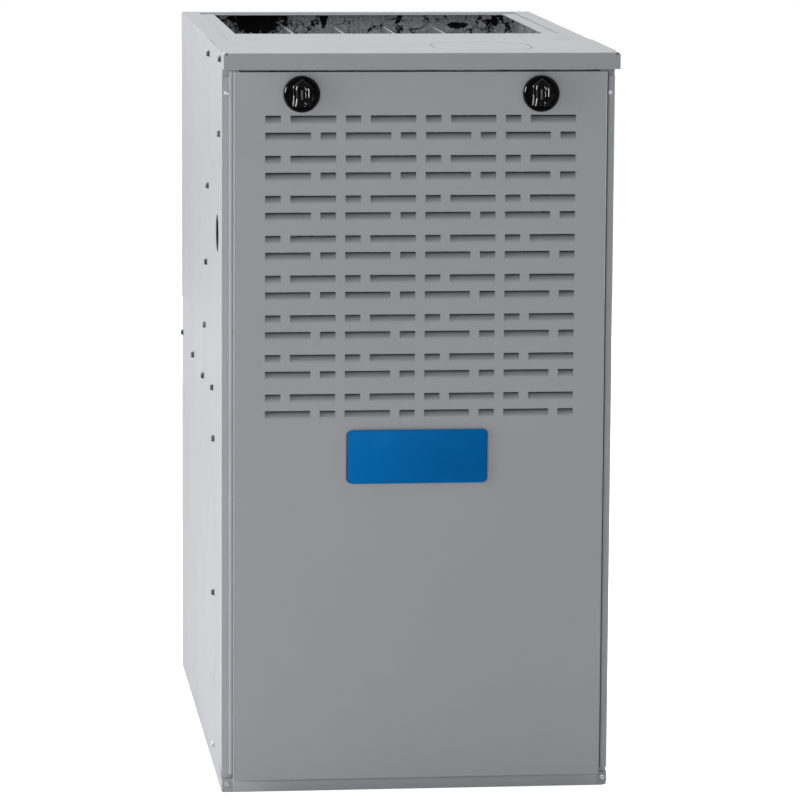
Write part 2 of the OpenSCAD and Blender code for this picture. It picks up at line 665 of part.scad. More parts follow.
// outline of the inducer housing with its outlet up to the vent
module ind_outline(o) translate([ind_x, ind_z]) polygon(concat(
    volute(ind_r0 - o, ind_r1 - o, 90, 360, 36),
    [[ind_r1 - o, ind_top - ind_z + (o > 0 ? 1 : 0)],
     [ind_r1 - 64 + o, ind_top - ind_z + (o > 0 ? 1 : 0)], [ind_r1 - 64 + o, ind_r0 - 2 - o]]));
module inducer_housing() color("silver") at_flange() difference() {
    union() {
        slab_y(vent_y - ind_hd, vent_y + ind_hd) ind_outline(0);
        // joint between the two pressed halves
        slab_y(vent_y - 1, vent_y + 1) intersection() {
            ind_outline(-5);
            translate([ind_x - 200, ind_z - 200]) square([400, 200 + ind_top - ind_z - 6]);
        }
    }
    slab_y(vent_y - ind_hd + 1.5, vent_y + ind_hd - 1.5) ind_outline(1.5);
    rod_y([ind_x, vent_y, ind_z], 30, ind_hd + 1);
    rod_y([ind_x, vent_y - ind_hd - 1, ind_z], 8, 4);
}

// inducer wheel with its shaft and the cooling fan in front of the housing
module inducer_wheel() color("gray") at_flange() translate([ind_x, vent_y, ind_z]) {
    rod_y([0, -12, 0], ind_wheel_d / 2, 1.5);
    for (i = [0:ind_blades - 1]) rotate([0, i * 360 / ind_blades, 0])
        bx([ind_wheel_d / 2 - 24, -11, -0.6], [ind_wheel_d / 2 - 1, ind_wheel_w - 12, 0.6]);
    rod_y([0, -14, 0], 8, 12);
    rod_y([0, -ind_hd - 16, 0], 3, ind_hd + 16);
    // cooling fan
    rod_y([0, -ind_hd - 9, 0], 7, 6);
    for (i = [0:7]) rotate([0, i * 45, 0]) bx([5, -ind_hd - 8, -0.6], [30, -ind_hd - 4, 0.6]);
}

module inducer_motor() color("dimgray") at_flange() difference() {
    y1 = vent_y - ind_hd - 11;
    union() {
        rod_y([ind_x, y1 - 36, ind_z], 33, 30);
        rod_y([ind_x, y1 - 6, ind_z], 24, 6);
        rod_y([ind_x, y1 - 42, ind_z], 22, 8);
        // standoffs to the housing
        for (a = [90, 210, 330]) translate([ind_x, 0, ind_z]) rotate([0, -a, 0]) {
            rod_y([40, y1 - 20, 0], 3, 31 - seat);
            bx([30, y1 - 20, -4], [40, y1 - 16, 4]);
        }
    }
    rod_y([ind_x, y1 - 8, ind_z], 3.06, 20);
}

// round vent collar on a square flange
module vent_collar() color("silver") at_flange() difference() {
    union() {
        translate([vent_x, vent_y, ind_top + seat]) linear_extrude(plate) soft_rect(-40, -40, 40, 40, 6);
        rod_z([vent_x, vent_y, ind_top + seat], vent_d / 2, top_z - 5 - ind_top - seat);
    }
    rod_z([vent_x, vent_y, ind_top + plate + seat], vent_d / 2 - plate, 60);
    translate([vent_x, vent_y, ind_top - 1]) linear_extrude(10)
        square([60, 2 * ind_hd - 3], center = true);
}

press_x = cell_x[3] + 76;
press_y = vest_y - 60;
press_z = ind_z - 95;
module pressure_switch() color("dimgray") at_flange() {
    rod_y([press_x, press_y - 9, press_z], 26, 8);
    rod_y([press_x, press_y - 1, press_z], 29, 3);
    rod_y([press_x, press_y + 2, press_z], 24, 10);
    rod_z([press_x, press_y + 6, press_z + 20], 3, 20);
    for (s = [-1, 1]) bx([press_x + s * 7 - 0.4, press_y - 18, press_z - 4],
                         [press_x + s * 7 + 0.4, press_y - 8, press_z + 4]);
    // bracket to the vestibule panel
    bx([press_x - 16, press_y + 10, press_z - 20], [press_x + 18, press_y + 12, press_z + 16]);
    bx([press_x + 16, press_y + 10, press_z - 20], [press_x + 18, vest_y - seat, press_z + 16]);
    bx([press_x - 2, vest_y - seat - 2, press_z - 20], [press_x + 18, vest_y - seat, press_z + 16]);
}

// rubber hose from the tap on the collector box down to the switch
hose_r = 4;
module pressure_hose() color("black") at_flange() {
    y = press_y + 6;
    z = ind_z + 10;
    x0 = cell_x[3] + 24 + seat;
    difference() {
        union() {
            rod_x([x0, y, z], hose_r, press_x - 14 - x0);
            translate([press_x - 14, y, z - 14]) rotate([90, 0, 0]) rotate_extrude(angle = 90)
                translate([14, 0]) circle(r = hose_r);
            rod_z([press_x, y, press_z + 32], hose_r, z - 14 - press_z - 32);
        }
        rod_z([press_x, y, press_z + 30], 3.1, 12);
    }
}

// outline of the blower housing in distance from the flanges and height, outlet up at the front
module vol_outline(o) translate([blow_y, blow_z]) polygon(concat(
    volute(vol_r0 - o, vol_r1 - o, 90, -180, 48),
    [[-vol_r1 + o, deck_z - blow_z - seat + (o > 0 ? 1 : 0)],
     [mouth_y - blow_y - o, deck_z - blow_z - seat + (o > 0 ? 1 : 0)],
     [mouth_y - blow_y - o, vol_r0 - 4 - o]]));
module blower_housing() color("lightsteelblue") at_flange() difference() {
    union() {
        slab_x(-blow_hw, blow_hw) vol_outline(0);
        // outlet flange under the deck
        bx([-blow_hw - 14, blow_y - vol_r1 - 12, deck_z - seat - plate],
           [blow_hw + 14, mouth_y + 12, deck_z - seat]);
        // rolled inlet rings
        both() translate([blow_hw - 2, blow_y, blow_z]) rotate([0, 90, 0]) rotate_extrude()
            translate([mouth_r + 6, 0]) circle(r = 6);
    }
    slab_x(-blow_hw + plate, blow_hw - plate) vol_outline(plate);
    rod_x([-blow_hw - 10, blow_y, blow_z], mouth_r, 2 * blow_hw + 20);
    // holes for the motor arms
    for (i = [0:2]) translate([0, blow_y, blow_z]) rotate([i * 120 + 90, 0, 0])
        rod_x([-blow_hw - 1, 0, mouth_r + 18], 2.6, 5);
}

// cutoff plate that closes the housing between the wheel and the outlet
module blower_cutoff() color("lightsteelblue") at_flange()
    bx([-blow_hw + plate + seat, mouth_y - plate - seat - 3, blow_z + vol_r0 + 6],
       [blow_hw - plate - seat, mouth_y - plate - seat, deck_z - 40]);

// angles that carry the housing from the deck
module blower_rails() color("silver") at_flange() both() {
    y1 = blow_y + vol_r0;
    x = blow_hw + 15;
    bx([x, blow_y - vol_r1 - 12, deck_z - seat - plate], [x + 22, y1, deck_z - seat]);
    bx([x, blow_y - vol_r1 - 12, deck_z - seat - 16], [x + plate, y1, deck_z - seat]);
}

// forward-curved blade in the plane across the shaft
module blade(i) rotate(i * 360 / wheel_blades) polygon(concat(
    [for (k = [0:4]) let (r = wheel_r - blade_d + blade_d * k / 4, a = 9 * pow(k / 4, 2))
        [r * cos(a), r * sin(a)]],
    [for (k = [4:-1:0]) let (r = wheel_r - blade_d + blade_d * k / 4, a = 9 * pow(k / 4, 2) + 0.5)
        [r * cos(a), r * sin(a)]]));
module blower_wheel() color("silver") at_flange() translate([0, blow_y, blow_z]) rotate([0, 90, 0])
    difference() {
        union() {
            translate([0, 0, -wheel_w / 2 + 1]) linear_extrude(wheel_w - 2)
                for (i = [0:wheel_blades - 1]) blade(i);
            // end rings
            for (z = [-wheel_w / 2, wheel_w / 2 - 4]) translate([0, 0, z]) difference() {
                cylinder(r = wheel_r + 1.2, h = 4);
                translate([0, 0, -1]) cylinder(r = wheel_r - 3, h = 6);
            }
            // web plate between the two halves, past the motor, and its hub
            translate([0, 0, motor_l / 2 + 12]) {
                cylinder(r = wheel_r, h = 1.5);
                translate([0, 0, -2]) cylinder(r = 17, h = 26);
            }
        }
        translate([0, 0, motor_l / 2]) cylinder(d = shaft_d, h = 60);
    }

// shaft turns with the wheel, which is pressed on it
module blower_shaft() color("gray") at_flange() difference() {
    rod_x([-motor_l / 2 + 20, blow_y, blow_z], shaft_d / 2, motor_l + 24);
    bx([motor_l / 2 + 12, blow_y - 8, blow_z + shaft_d / 2 - 1.2],
       [motor_l / 2 + 80, blow_y + 8, blow_z + shaft_d]);
}

module blower_motor() color("dimgray") at_flange() translate([0, blow_y, blow_z]) difference() {
    union() {
        rod_x([-motor_l / 2, 0, 0], motor_d / 2, motor_l);
        rod_x([-motor_l / 2 - 6, 0, 0], motor_d / 2 - 14, motor_l + 12);
    }
    // bore of the bearings
    rod_x([-motor_l / 2 + 18, 0, 0], shaft_d / 2 + 0.06, motor_l);
    for (i = [0:11]) rotate([i * 30, 0, 0]) bx([-motor_l / 2 - 7, -3, motor_d / 2 - 34],
                                               [-motor_l / 2 + 6, 3, motor_d / 2 - 20]);
}

// band round the motor and three arms out to the housing's inlet
module motor_arms() color("silver") at_flange() translate([0, blow_y, blow_z]) {
    difference() {
        rod_x([-motor_l / 2 + 12, 0, 0], motor_d / 2 + 2.2, 26);
        rod_x([-motor_l / 2 + 10, 0, 0], motor_d / 2 + 0.2, 40);
    }
    for (i = [0:2]) rotate([i * 120 + 90, 0, 0]) {
        bx([-motor_l / 2 + 14, -6, motor_d / 2 + 1], [-motor_l / 2 + 30, 6, motor_d / 2 + 4]);
        bx([-blow_hw - 7, -6, motor_d / 2 + 2], [-motor_l / 2 + 30, 6, motor_d / 2 + 4]);
        bx([-blow_hw - 7, -6, motor_d / 2 + 2], [-blow_hw - 5, 6, mouth_r + 26]);
        bx([-blow_hw - 7, -6, mouth_r + 24], [-blow_hw - seat, 6, mouth_r + 26]);
    }
}

module capacitor() color("silver") at_flange() {
    // below the inlet ring on the housing's right side
    c = [blow_hw + seat, blow_y, blow_z - mouth_r - 82];
    translate([c[0] + 17.2, c[1], c[2]]) linear_extrude(66) obround(32, 52);
    bx([c[0], c[1] - 30, c[2] + 24], [c[0] + 1.2, c[1] + 30, c[2] + 50]);
}

// open-fronted control box under the deck, left of the blower
ctl_x0 = -in_x + 26;
ctl_x1 = -blow_hw + 62;
ctl_z1 = deck_z - seat;
ctl_y = inner_y + 44;
module control_box() color("silver") at_flange() difference() {
    bx([ctl_x0, ctl_y, ctl_z1 - 150], [ctl_x1, ctl_y + 24, ctl_z1]);
    bx([ctl_x0 + plate, ctl_y - 1, ctl_z1 - 150 + plate],
       [ctl_x1 - plate, ctl_y + 24 - plate, ctl_z1 - plate]);
}
module control_board() color("green") at_flange() {
    y = ctl_y + 24 - plate - 7;
    bx([ctl_x0 + 8, y, ctl_z1 - 140], [ctl_x1 - 40, y + 1.6, ctl_z1 - 12]);
    for (x = [ctl_x0 + 12, ctl_x1 - 46], z = [ctl_z1 - 134, ctl_z1 - 18])
        rod_y([x, y + 1, z], 2, 6 - seat);
    for (i = [0:2])
        bx([ctl_x0 + 14 + i * 24, y - 12, ctl_z1 - 60], [ctl_x0 + 34 + i * 24, y + 0.5, ctl_z1 - 34]);
    bx([ctl_x0 + 14, y - 8, ctl_z1 - 134], [ctl_x0 + 74, y + 0.5, ctl_z1 - 126]);
    for (i = [0:3]) rod_y([ctl_x0 + 20 + i * 14, y - 10, ctl_z1 - 96], 4.5, 11);
}
module transformer() color("dimgray") at_flange() {
    x = ctl_x1 - 34;
    y = ctl_y + 24 - plate - seat;
    bx([x, y - 26, ctl_z1 - 96], [x + 30, y, ctl_z1 - 66]);
    bx([x + 5, y - 22, ctl_z1 - 104], [x + 25, y - 4, ctl_z1 - 58]);
}

// door switch on a bracket behind the right flange
sw_x = in_x - 36;
sw_z = keeper_z - 60;
module door_switch() color("black") at_flange() difference() {
    union() {
        bx([sw_x - 9, -8, sw_z - 12], [sw_x + 9, 20, sw_z + 12]);
        bx([sw_x - 9, 6, sw_z - 14], [in_x - plate - seat, 7.2, sw_z + 14]);
        bx([in_x - plate * 2 - seat, 6, sw_z - 14], [in_x - plate - seat, 30, sw_z + 14]);
        for (s = [-1, 1]) bx([sw_x + s * 4 - 0.4, 19, sw_z - 3], [sw_x + s * 4 + 0.4, 28, sw_z + 3]);
    }
    rod_y([sw_x, -9, sw_z], 4.06, 16);
    rod_x([in_x - 8, side_screw_at[2][0], side_screw_at[2][1]], shank_d / 2 + 0.2, 10);
}
module door_switch_plunger() color("white") at_flange()
    rod_y([sw_x, -door_proud + sheet + 0.3, sw_z], 4, door_proud - sheet - 0.3 + 2);

// one louver: pressed in at its upper edge, closed at both ends
module louver(x0, x1, z) {
    f = -door_proud;
    b = f + louver_press + sheet;
    // the plate curves in from the lower edge and leaves a slit at its upper edge
    front = [for (i = [0:3]) let (t = i / 3)
        [f + louver_press * t * (0.4 + 0.6 * t), z - louver_h + (louver_h - louver_slit) * t]];
    difference() {
        slab_x(x0, x1) polygon([[f, z - louver_h - 1], [f, z], [b, z],
                                [b, z - louver_slit - 1.2], [f + sheet, z - louver_h - 1]]);
        slab_x(x0 + 0.8, x1 - 0.8) polygon(concat(front,
            [[b + 1, z - louver_slit], [b + 1, z + 1], [f - 1, z + 1], [f - 1, z - louver_h]]));
    }
}
louver_period = louver_short + louver_long + 2 * louver_gap;
louver_x0 = -(louver_periods * louver_period - louver_gap) / 2;
// left end, right end and upper edge of every louver; every other row starts with the long one
louvers = [for (row = [0:2 * louver_pairs - 1], i = [0:louver_periods - 1], k = [0, 1])
    let (odd = row % 2, first = odd ? louver_long : louver_short,
         x = louver_x0 + i * louver_period + k * (first + louver_gap),
         w = (k == odd) ? louver_short : louver_long)
    [x, x + w, door_top - louver_top - floor(row / 2) * louver_step - odd * 19]];
// section of the door's side: hemmed edge, set-in return and foot
module door_side() {
    y0 = -door_proud;
    x1 = door_hw - door_set_in;
    difference() {
        union() {
            translate([door_hw - door_edge_r, y0 + door_edge_r]) circle(r = door_edge_r);
            translate([x1 - sheet, y0]) square([door_set_in + sheet - door_edge_r, door_hem]);
            translate([x1, y0 + door_edge_r]) square([door_set_in, door_hem - door_edge_r]);
        }
        translate([door_hw - door_edge_r, y0 + door_edge_r]) circle(r = door_edge_r - sheet);
        translate([x1 - sheet - 1, y0 + sheet])
            square([door_set_in + sheet + 1 - door_edge_r, door_hem - 2 * sheet]);
        translate([x1 - sheet - 1, y0 + door_edge_r])
            square([door_set_in + 1, door_hem - sheet - door_edge_r]);
    }
    translate([x1 - sheet, y0 + door_hem - sheet]) square([sheet, door_proud - door_hem + sheet - seat]);
    translate([x1 - 9, -seat - sheet]) square([9, sheet]);
}
module louvered_door() color("gray") at_flange() {
    y0 = -door_proud;
    x1 = door_hw - door_set_in;
    union() {
        // face with its pierced rows
        slab_y(y0, y0 + sheet) difference() {
            translate([-door_hw + door_edge_r, door_z])
                square([2 * (door_hw - door_edge_r), door_top - door_z]);
            for (l = louvers) translate([l[0], l[2] - louver_h]) square([l[1] - l[0], louver_h]);
            for (s = [-1, 1]) translate([s * latch_x, latch_z]) circle(d = latch_shaft_d + 0.16);
        }
        for (l = louvers) louver(l[0], l[1], l[2]);
        both() translate([0, 0, door_z]) linear_extrude(door_top - door_z) door_side();
        // turned upper and lower edges
        for (z = [door_z, door_top - sheet]) {
            bx([-x1 + sheet / 2, y0 + sheet / 2, z], [x1 - sheet / 2, -seat, z + sheet]);
            bx([-door_hw + sheet / 2, y0 + sheet / 2, z],
               [door_hw - sheet / 2, y0 + door_hem - sheet / 2, z + sheet]);
        }
        for (z = [door_z, door_top - 9])
            bx([-x1 + sheet / 2, -seat - sheet, z], [x1 - sheet / 2, -seat, z + 9]);
    }
}
module door_liner() color("darkgray") at_flange()
    bx([-door_hw + door_set_in + sheet + 1, -door_proud + sheet + seat, door_z + sheet + 1],
       [door_hw - door_set_in - sheet - 1, -door_proud + sheet + seat + door_liner_t, deck_z - 20]);

// outline of the latch's grip: a house shape with its ridge up, w wide at the eaves
module house(w, ridge, eave, foot, flare) polygon([
    [0, ridge], [-w, eave], [-w * 0.96, (eave + foot) / 2], [-w - flare, foot],
    [w + flare, foot], [w * 0.96, (eave + foot) / 2], [w, eave]]);
// quarter-turn latch: round dish, stepped house-shaped grip with a recess, shaft and wing;
// s is -1 on the left and 1 on the right
module latch(s) color([0.06, 0.06, 0.07]) at_flange() translate([s * latch_x, -door_proud - 0.1, latch_z]) {
    r = latch_d / 2;
    rotate([90, 0, 0]) rotate_extrude() polygon([
        [0, 0], [r - 1.5, 0], [r - 0.4, 0.6], [r, 1.6], [r, 4.4], [r - 0.5, 5.4], [r - 1.4, 5.8],
        [r - 2.4, 5.4], [r - 3.4, 4.4], [r - 6, 3.2], [r - 9, 2.7], [0, 2.6]]);
    // walls of the grip in two steps, open round the recess
    translate([0, -2, 0]) rotate([90, 0, 0]) {
        linear_extrude(latch_proud * 0.62 - 2) intersection() {
            difference() {
                house(r * 0.5, r * 0.88, r * 0.46, -r * 0.68, 2);
                house(r * 0.28, r * 0.5, r * 0.3, -r * 0.6, 1);
            }
            circle(r = r - 2);
        }
        linear_extrude(latch_proud - 2) intersection() {
            difference() {
                house(r * 0.4, r * 0.74, r * 0.4, -r * 0.66, 2);
                house(r * 0.28, r * 0.5, r * 0.3, -r * 0.6, 1);
            }
            circle(r = r - 3.5);
        }
    }
    // bar in the recess
    translate([0, -2, 0]) rotate([90, 0, 0]) linear_extrude(5.5)
        soft_rect(-1.4, -r * 0.3, 1.4, r * 0.24, 0.6);
    rod_y([0, -0.5, 0], latch_shaft_d / 2, door_proud + 9);
    translate([0, door_proud + 7.5, 0]) rotate([90, 0, 0]) linear_extrude(4) {
        circle(r = 7);
        translate([-s * latch_wing, 0]) circle(r = 5);
        translate([s > 0 ? -latch_wing : 0, -5]) square([latch_wing, 10]);
    }
}
module latch_left() latch(-1);
module latch_right() latch(1);

casing_wrapper();
top_cap();
top_filler_panel();
outlet_frame();
upper_cross_rail();
bottom_rail();
base_pan();
bottom_closure();
blower_deck();
vestibule_panel();
blower_door_rails();
blower_door();
outlet_liner();
side_screws();
front_screws();
cell_1();
cell_2();
cell_3();
cell_4();
collector_box();
burner_box();
inshot_burners();
gas_manifold();
gas_orifices();
gas_valve();
gas_valve_lever();
igniter();
flame_sensor();
rollout_switches();
reset_button_left();
reset_button_right();
limit_switch();
inducer_housing();
inducer_wheel();
inducer_motor();
vent_collar();
pressure_switch();
pressure_hose();
blower_housing();
blower_cutoff();
blower_rails();
blower_wheel();
blower_shaft();
blower_motor();
motor_arms();
capacitor();
control_box();
control_board();
transformer();
door_switch();
door_switch_plunger();
louvered_door();
door_liner();
latch_left();
latch_right();
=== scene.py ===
# %% [markdown]
# # Forced air gas furnace
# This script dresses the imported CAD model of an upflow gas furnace. The cabinet is folded from
# pre-painted sheet steel, so most of the work is in quiet finishes: a satin paint film with a fine
# texture, spangled zinc inside, wrinkled foil on the insulation and glossy black latches. It loads
# the CAD parts where they belong, in metres, with Z up.

# %% Load the frame
import json
import math

import bmesh
import bpy
from mathutils import Matrix, Vector


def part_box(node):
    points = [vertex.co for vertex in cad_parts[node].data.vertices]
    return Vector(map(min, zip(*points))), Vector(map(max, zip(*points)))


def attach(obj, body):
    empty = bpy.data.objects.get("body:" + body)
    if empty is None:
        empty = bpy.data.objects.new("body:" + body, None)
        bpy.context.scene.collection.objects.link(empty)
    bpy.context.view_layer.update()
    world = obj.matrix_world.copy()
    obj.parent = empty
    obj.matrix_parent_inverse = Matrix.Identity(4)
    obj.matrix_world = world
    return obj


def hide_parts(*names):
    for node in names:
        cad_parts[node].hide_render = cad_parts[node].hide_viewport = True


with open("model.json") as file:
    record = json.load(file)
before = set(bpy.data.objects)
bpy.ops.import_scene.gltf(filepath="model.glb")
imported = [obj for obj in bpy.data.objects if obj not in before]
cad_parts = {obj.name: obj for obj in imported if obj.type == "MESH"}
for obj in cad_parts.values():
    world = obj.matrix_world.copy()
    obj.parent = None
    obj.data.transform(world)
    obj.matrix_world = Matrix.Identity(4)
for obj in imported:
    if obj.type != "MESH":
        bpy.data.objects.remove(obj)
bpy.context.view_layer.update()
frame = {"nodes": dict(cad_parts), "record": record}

nodes = frame["nodes"]
scene = bpy.context.scene

# %% [markdown]
# ## Camera
# The photograph was taken with a long lens from the front left and slightly above, so the upright
# edges stay almost parallel. The place, the three turns and the focal length were found by fitting
# the cabinet's corners, and the lens is written for Blender's 36 mm wide sensor.

# %% Camera
def camera_matrix(place, yaw, pitch, roll):
    """Turns yaw, pitch and roll into a camera that looks along its own -Z with +Y up."""
    turn = (Matrix.Rotation(yaw, 3, "Z") @ Matrix.Rotation(pitch, 3, "X") @ Matrix.Rotation(roll, 3, "Y"))
    right, ahead, up = turn.col[0], turn.col[1], turn.col[2]
    return Matrix.Translation(place) @ Matrix((right, up, -ahead)).transposed().to_4x4()


frame_pixels = 800.0
focal_pixels = 4512.0
camera_place, camera_yaw, camera_pitch, camera_roll = (-0.58018, -5.36706, 1.20535), -0.111, -0.148, -0.006
camera_data = bpy.data.cameras.new("studio_camera")
camera_data.sensor_width = 36.0
camera_data.lens = focal_pixels / frame_pixels * camera_data.sensor_width
camera_data.clip_end = 60.0
camera = bpy.data.objects.new("studio_camera", camera_data)
scene.collection.objects.link(camera)
camera.matrix_world = camera_matrix(Vector(camera_place), camera_yaw, camera_pitch, camera_roll)
scene.camera = camera
print("camera lens:", round(camera_data.lens, 1), "mm")

# %% [markdown]
# ## Light
# The left side and the top are bright and the front is half as bright, so the main soft box stands on
# the left and another hangs overhead. A small lamp stands left of the camera for the front: it is small
# so that the cap's lip and each louver draw a thin hard line below them, and a weaker one on the right
# keeps the edge beside the door readable. Two more lamps light the right side and the back, which the
# main view doesn't show. A pale world keeps the dark gaps readable from every side, and shows as plain
# white behind the object.

# %% Lamps and world
scene.view_settings.view_transform = "Standard"


def soft_box(name, place, look_at, size, watts, tint=(1.0, 1.0, 1.0)):
    """A square area lamp that faces a point."""
    lamp = bpy.data.lights.new(name, "AREA")
    lamp.shape = "SQUARE"
    lamp.size = size
    lamp.energy = watts
    lamp.color = tint
    holder = bpy.data.objects.new(name, lamp)
    scene.collection.objects.link(holder)
    holder.location = place
    holder.rotation_euler = (Vector(look_at) - Vector(place)).to_track_quat("-Z", "Y").to_euler()


soft_box("left_box", (-2.7, -0.45, 0.85), (0, 0, 0.45), 1.8, 74, (1.0, 0.985, 0.965))
soft_box("top_box", (-0.3, 0.3, 3.6), (0, 0, 0.6), 2.2, 63, (1.0, 0.985, 0.96))
soft_box("front_key", (-1.25, -4.9, 1.45), (0, -0.3, 0.40), 0.4, 29, (0.965, 0.99, 1.0))
soft_box("front_fill", (1.10, -5.0, 1.10), (0, -0.3, 0.40), 0.5, 11, (0.965, 0.99, 1.0))
soft_box("right_fill", (3.8, 0.9, 0.5), (0, 0, 0.40), 0.7, 86)
soft_box("back_fill", (0.15, 4.2, 0.45), (0, 0, 0.40), 0.7, 62)

world = bpy.data.worlds.new("studio_world")
scene.world = world
world.use_nodes = True
sky = world.node_tree
sky.nodes.clear()
seen = sky.nodes.new("ShaderNodeLightPath")
shown_rays = sky.nodes.new("ShaderNodeMath")
shown_rays.operation = "MAXIMUM"
sky.links.new(seen.outputs["Is Camera Ray"], shown_rays.inputs[0])
sky.links.new(seen.outputs["Is Glossy Ray"], shown_rays.inputs[1])
level = sky.nodes.new("ShaderNodeMapRange")
level.inputs["To Min"].default_value = 0.16
level.inputs["To Max"].default_value = 1.0
sky.links.new(shown_rays.outputs[0], level.inputs["Value"])
glow = sky.nodes.new("ShaderNodeBackground")
glow.inputs["Color"].default_value = (1.0, 1.0, 1.0, 1.0)
sky.links.new(level.outputs[0], glow.inputs["Strength"])
sky_out = sky.nodes.new("ShaderNodeOutputWorld")
sky.links.new(glow.outputs[0], sky_out.inputs["Surface"])

# %% [markdown]
# ## Floor
# The object stands on a plain white floor that melts into the background. A camera ray sees the floor
# a little brighter than it is lit, so it clips to white everywhere but in the object's own shadow.

# %% Floor
def deselect_all():
    """Nothing stays selected or active, so the next operator acts only on what it makes."""
    if bpy.context.object and bpy.context.object.mode != "OBJECT":
        bpy.ops.object.mode_set(mode="OBJECT")
    bpy.ops.object.select_all(action="DESELECT")
    bpy.context.view_layer.objects.active = None


deselect_all()
bpy.ops.mesh.primitive_plane_add(size=1, location=(0, 0, -0.0006))
floor = bpy.context.object
floor.name = "studio_floor"
bpy.ops.object.mode_set(mode="EDIT")
bpy.ops.transform.resize(value=(24, 24, 1))
bpy.ops.mesh.subdivide(number_cuts=3)
bpy.ops.object.mode_set(mode="OBJECT")
floor_paint = bpy.data.materials.new("studio_floor_white")
floor_paint.use_nodes = True
tree = floor_paint.node_tree
plain = tree.nodes["Principled BSDF"]
plain.inputs["Base Color"].default_value = (0.80, 0.80, 0.80, 1.0)
plain.inputs["Roughness"].default_value = 0.9
plain.inputs["Specular IOR Level"].default_value = 0.0
plain.inputs["Emission Color"].default_value = (1.0, 1.0, 1.0, 1.0)
floor_seen = tree.nodes.new("ShaderNodeLightPath")
floor_level = tree.nodes.new("ShaderNodeMath")
floor_level.operation = "MULTIPLY"
floor_level.inputs[1].default_value = 0.92
tree.links.new(floor_seen.outputs["Is Camera Ray"], floor_level.inputs[0])
tree.links.new(floor_level.outputs[0], plain.inputs["Emission Strength"])
floor.data.materials.append(floor_paint)
print("floor:", len(floor.data.polygons), "faces")

# %% [markdown]
# ## Shared finishes
# Sheet steel, zinc and foil each repeat on many pieces, so each effect is a shader node group with
# named inputs, built once. A group only makes what changes over the surface: a colour, a roughness
# and a normal. Object coordinates keep every pattern at its real size in metres.

# %% Helpers for node groups
def effect_group(name, inputs, outputs):
    """An empty shader node group with typed sockets: inputs are (name, kind, value)."""
    group = bpy.data.node_groups.new(name, "ShaderNodeTree")
    for label, kind, value in inputs:
        socket = group.interface.new_socket(name=label, in_out="INPUT", socket_type="NodeSocket" + kind)
        socket.default_value = value
    for label, kind in outputs:
        group.interface.new_socket(name=label, in_out="OUTPUT", socket_type="NodeSocket" + kind)
    return group, group.nodes.new("NodeGroupInput"), group.nodes.new("NodeGroupOutput")


def place_node(group, kind, links=(), **settings):
    """Adds a node; settings are its properties or, with numbers, its input values by socket name."""
    made = group.nodes.new("ShaderNode" + kind)
    for label, value in settings.items():
        if hasattr(made, label):
            setattr(made, label, value)
        else:
            made.inputs[label.replace("_", " ")].default_value = value
    for socket, source in links:
        group.links.new(source, made.inputs[socket])
    return made


def mix_colours(group, mask, first, second):
    """A colour that goes from the first to the second as the mask goes from 0 to 1."""
    return place_node(group, "Mix", [(0, mask), (6, first), (7, second)], data_type="RGBA").outputs[2]


print("helpers ready")

# %% [markdown]
# ## Paint film
# Coil-coated steel is satin: an even grey with a very fine texture, like thin orange peel, and a faint
# cloudiness over a hand's width. Two noises do that, a wide one for colour and a tiny one for bump.

# %% Paint group
paint_group, g_in, g_out = effect_group(
    "paint_film",
    [("Color", "Color", (0.4, 0.4, 0.4, 1)), ("Cloud Color", "Color", (0.36, 0.36, 0.36, 1)),
     ("Roughness", "Float", 0.42), ("Texture", "Float", 0.25)],
    [("Color", "Color"), ("Roughness", "Float"), ("Normal", "Vector")])
where = place_node(paint_group, "TexCoord").outputs["Object"]
cloud = place_node(paint_group, "TexNoise", [("Vector", where)], Scale=7.0, Detail=3.0, Roughness=0.6)
grain = place_node(paint_group, "TexNoise", [("Vector", where)], Scale=900.0, Detail=2.0)
speck = place_node(paint_group, "TexNoise", [("Vector", where)], Scale=2600.0, Detail=1.0)
cloud_mask = place_node(paint_group, "MapRange", [("Value", cloud.outputs["Fac"])],
                        From_Min=0.35, From_Max=0.70)
tone = mix_colours(paint_group, cloud_mask.outputs[0], g_in.outputs["Color"], g_in.outputs["Cloud Color"])
flake = place_node(paint_group, "MapRange", [("Value", speck.outputs["Fac"])], To_Min=0.94, To_Max=1.06)
flecked = place_node(paint_group, "VectorMath", [(0, tone), (1, flake.outputs[0])], operation="MULTIPLY")
paint_group.links.new(flecked.outputs[0], g_out.inputs["Color"])
rough_shift = place_node(paint_group, "MapRange", [("Value", cloud.outputs["Fac"])],
                         To_Min=-0.06, To_Max=0.06)
rough_sum = place_node(paint_group, "Math", [(0, g_in.outputs["Roughness"]), (1, rough_shift.outputs[0])],
                       operation="ADD")
paint_group.links.new(rough_sum.outputs[0], g_out.inputs["Roughness"])
peel = place_node(paint_group, "Bump", [("Height", grain.outputs["Fac"]),
                                        ("Strength", g_in.outputs["Texture"])], Distance=0.00006)
paint_group.links.new(peel.outputs[0], g_out.inputs["Normal"])
print("paint group:", len(paint_group.nodes), "nodes")

# %% [markdown]
# ## Zinc spangle
# Bare galvanised sheet shows crystals about a centimetre across, each a slightly different grey and
# gloss. A Voronoi texture gives one random value to each crystal.

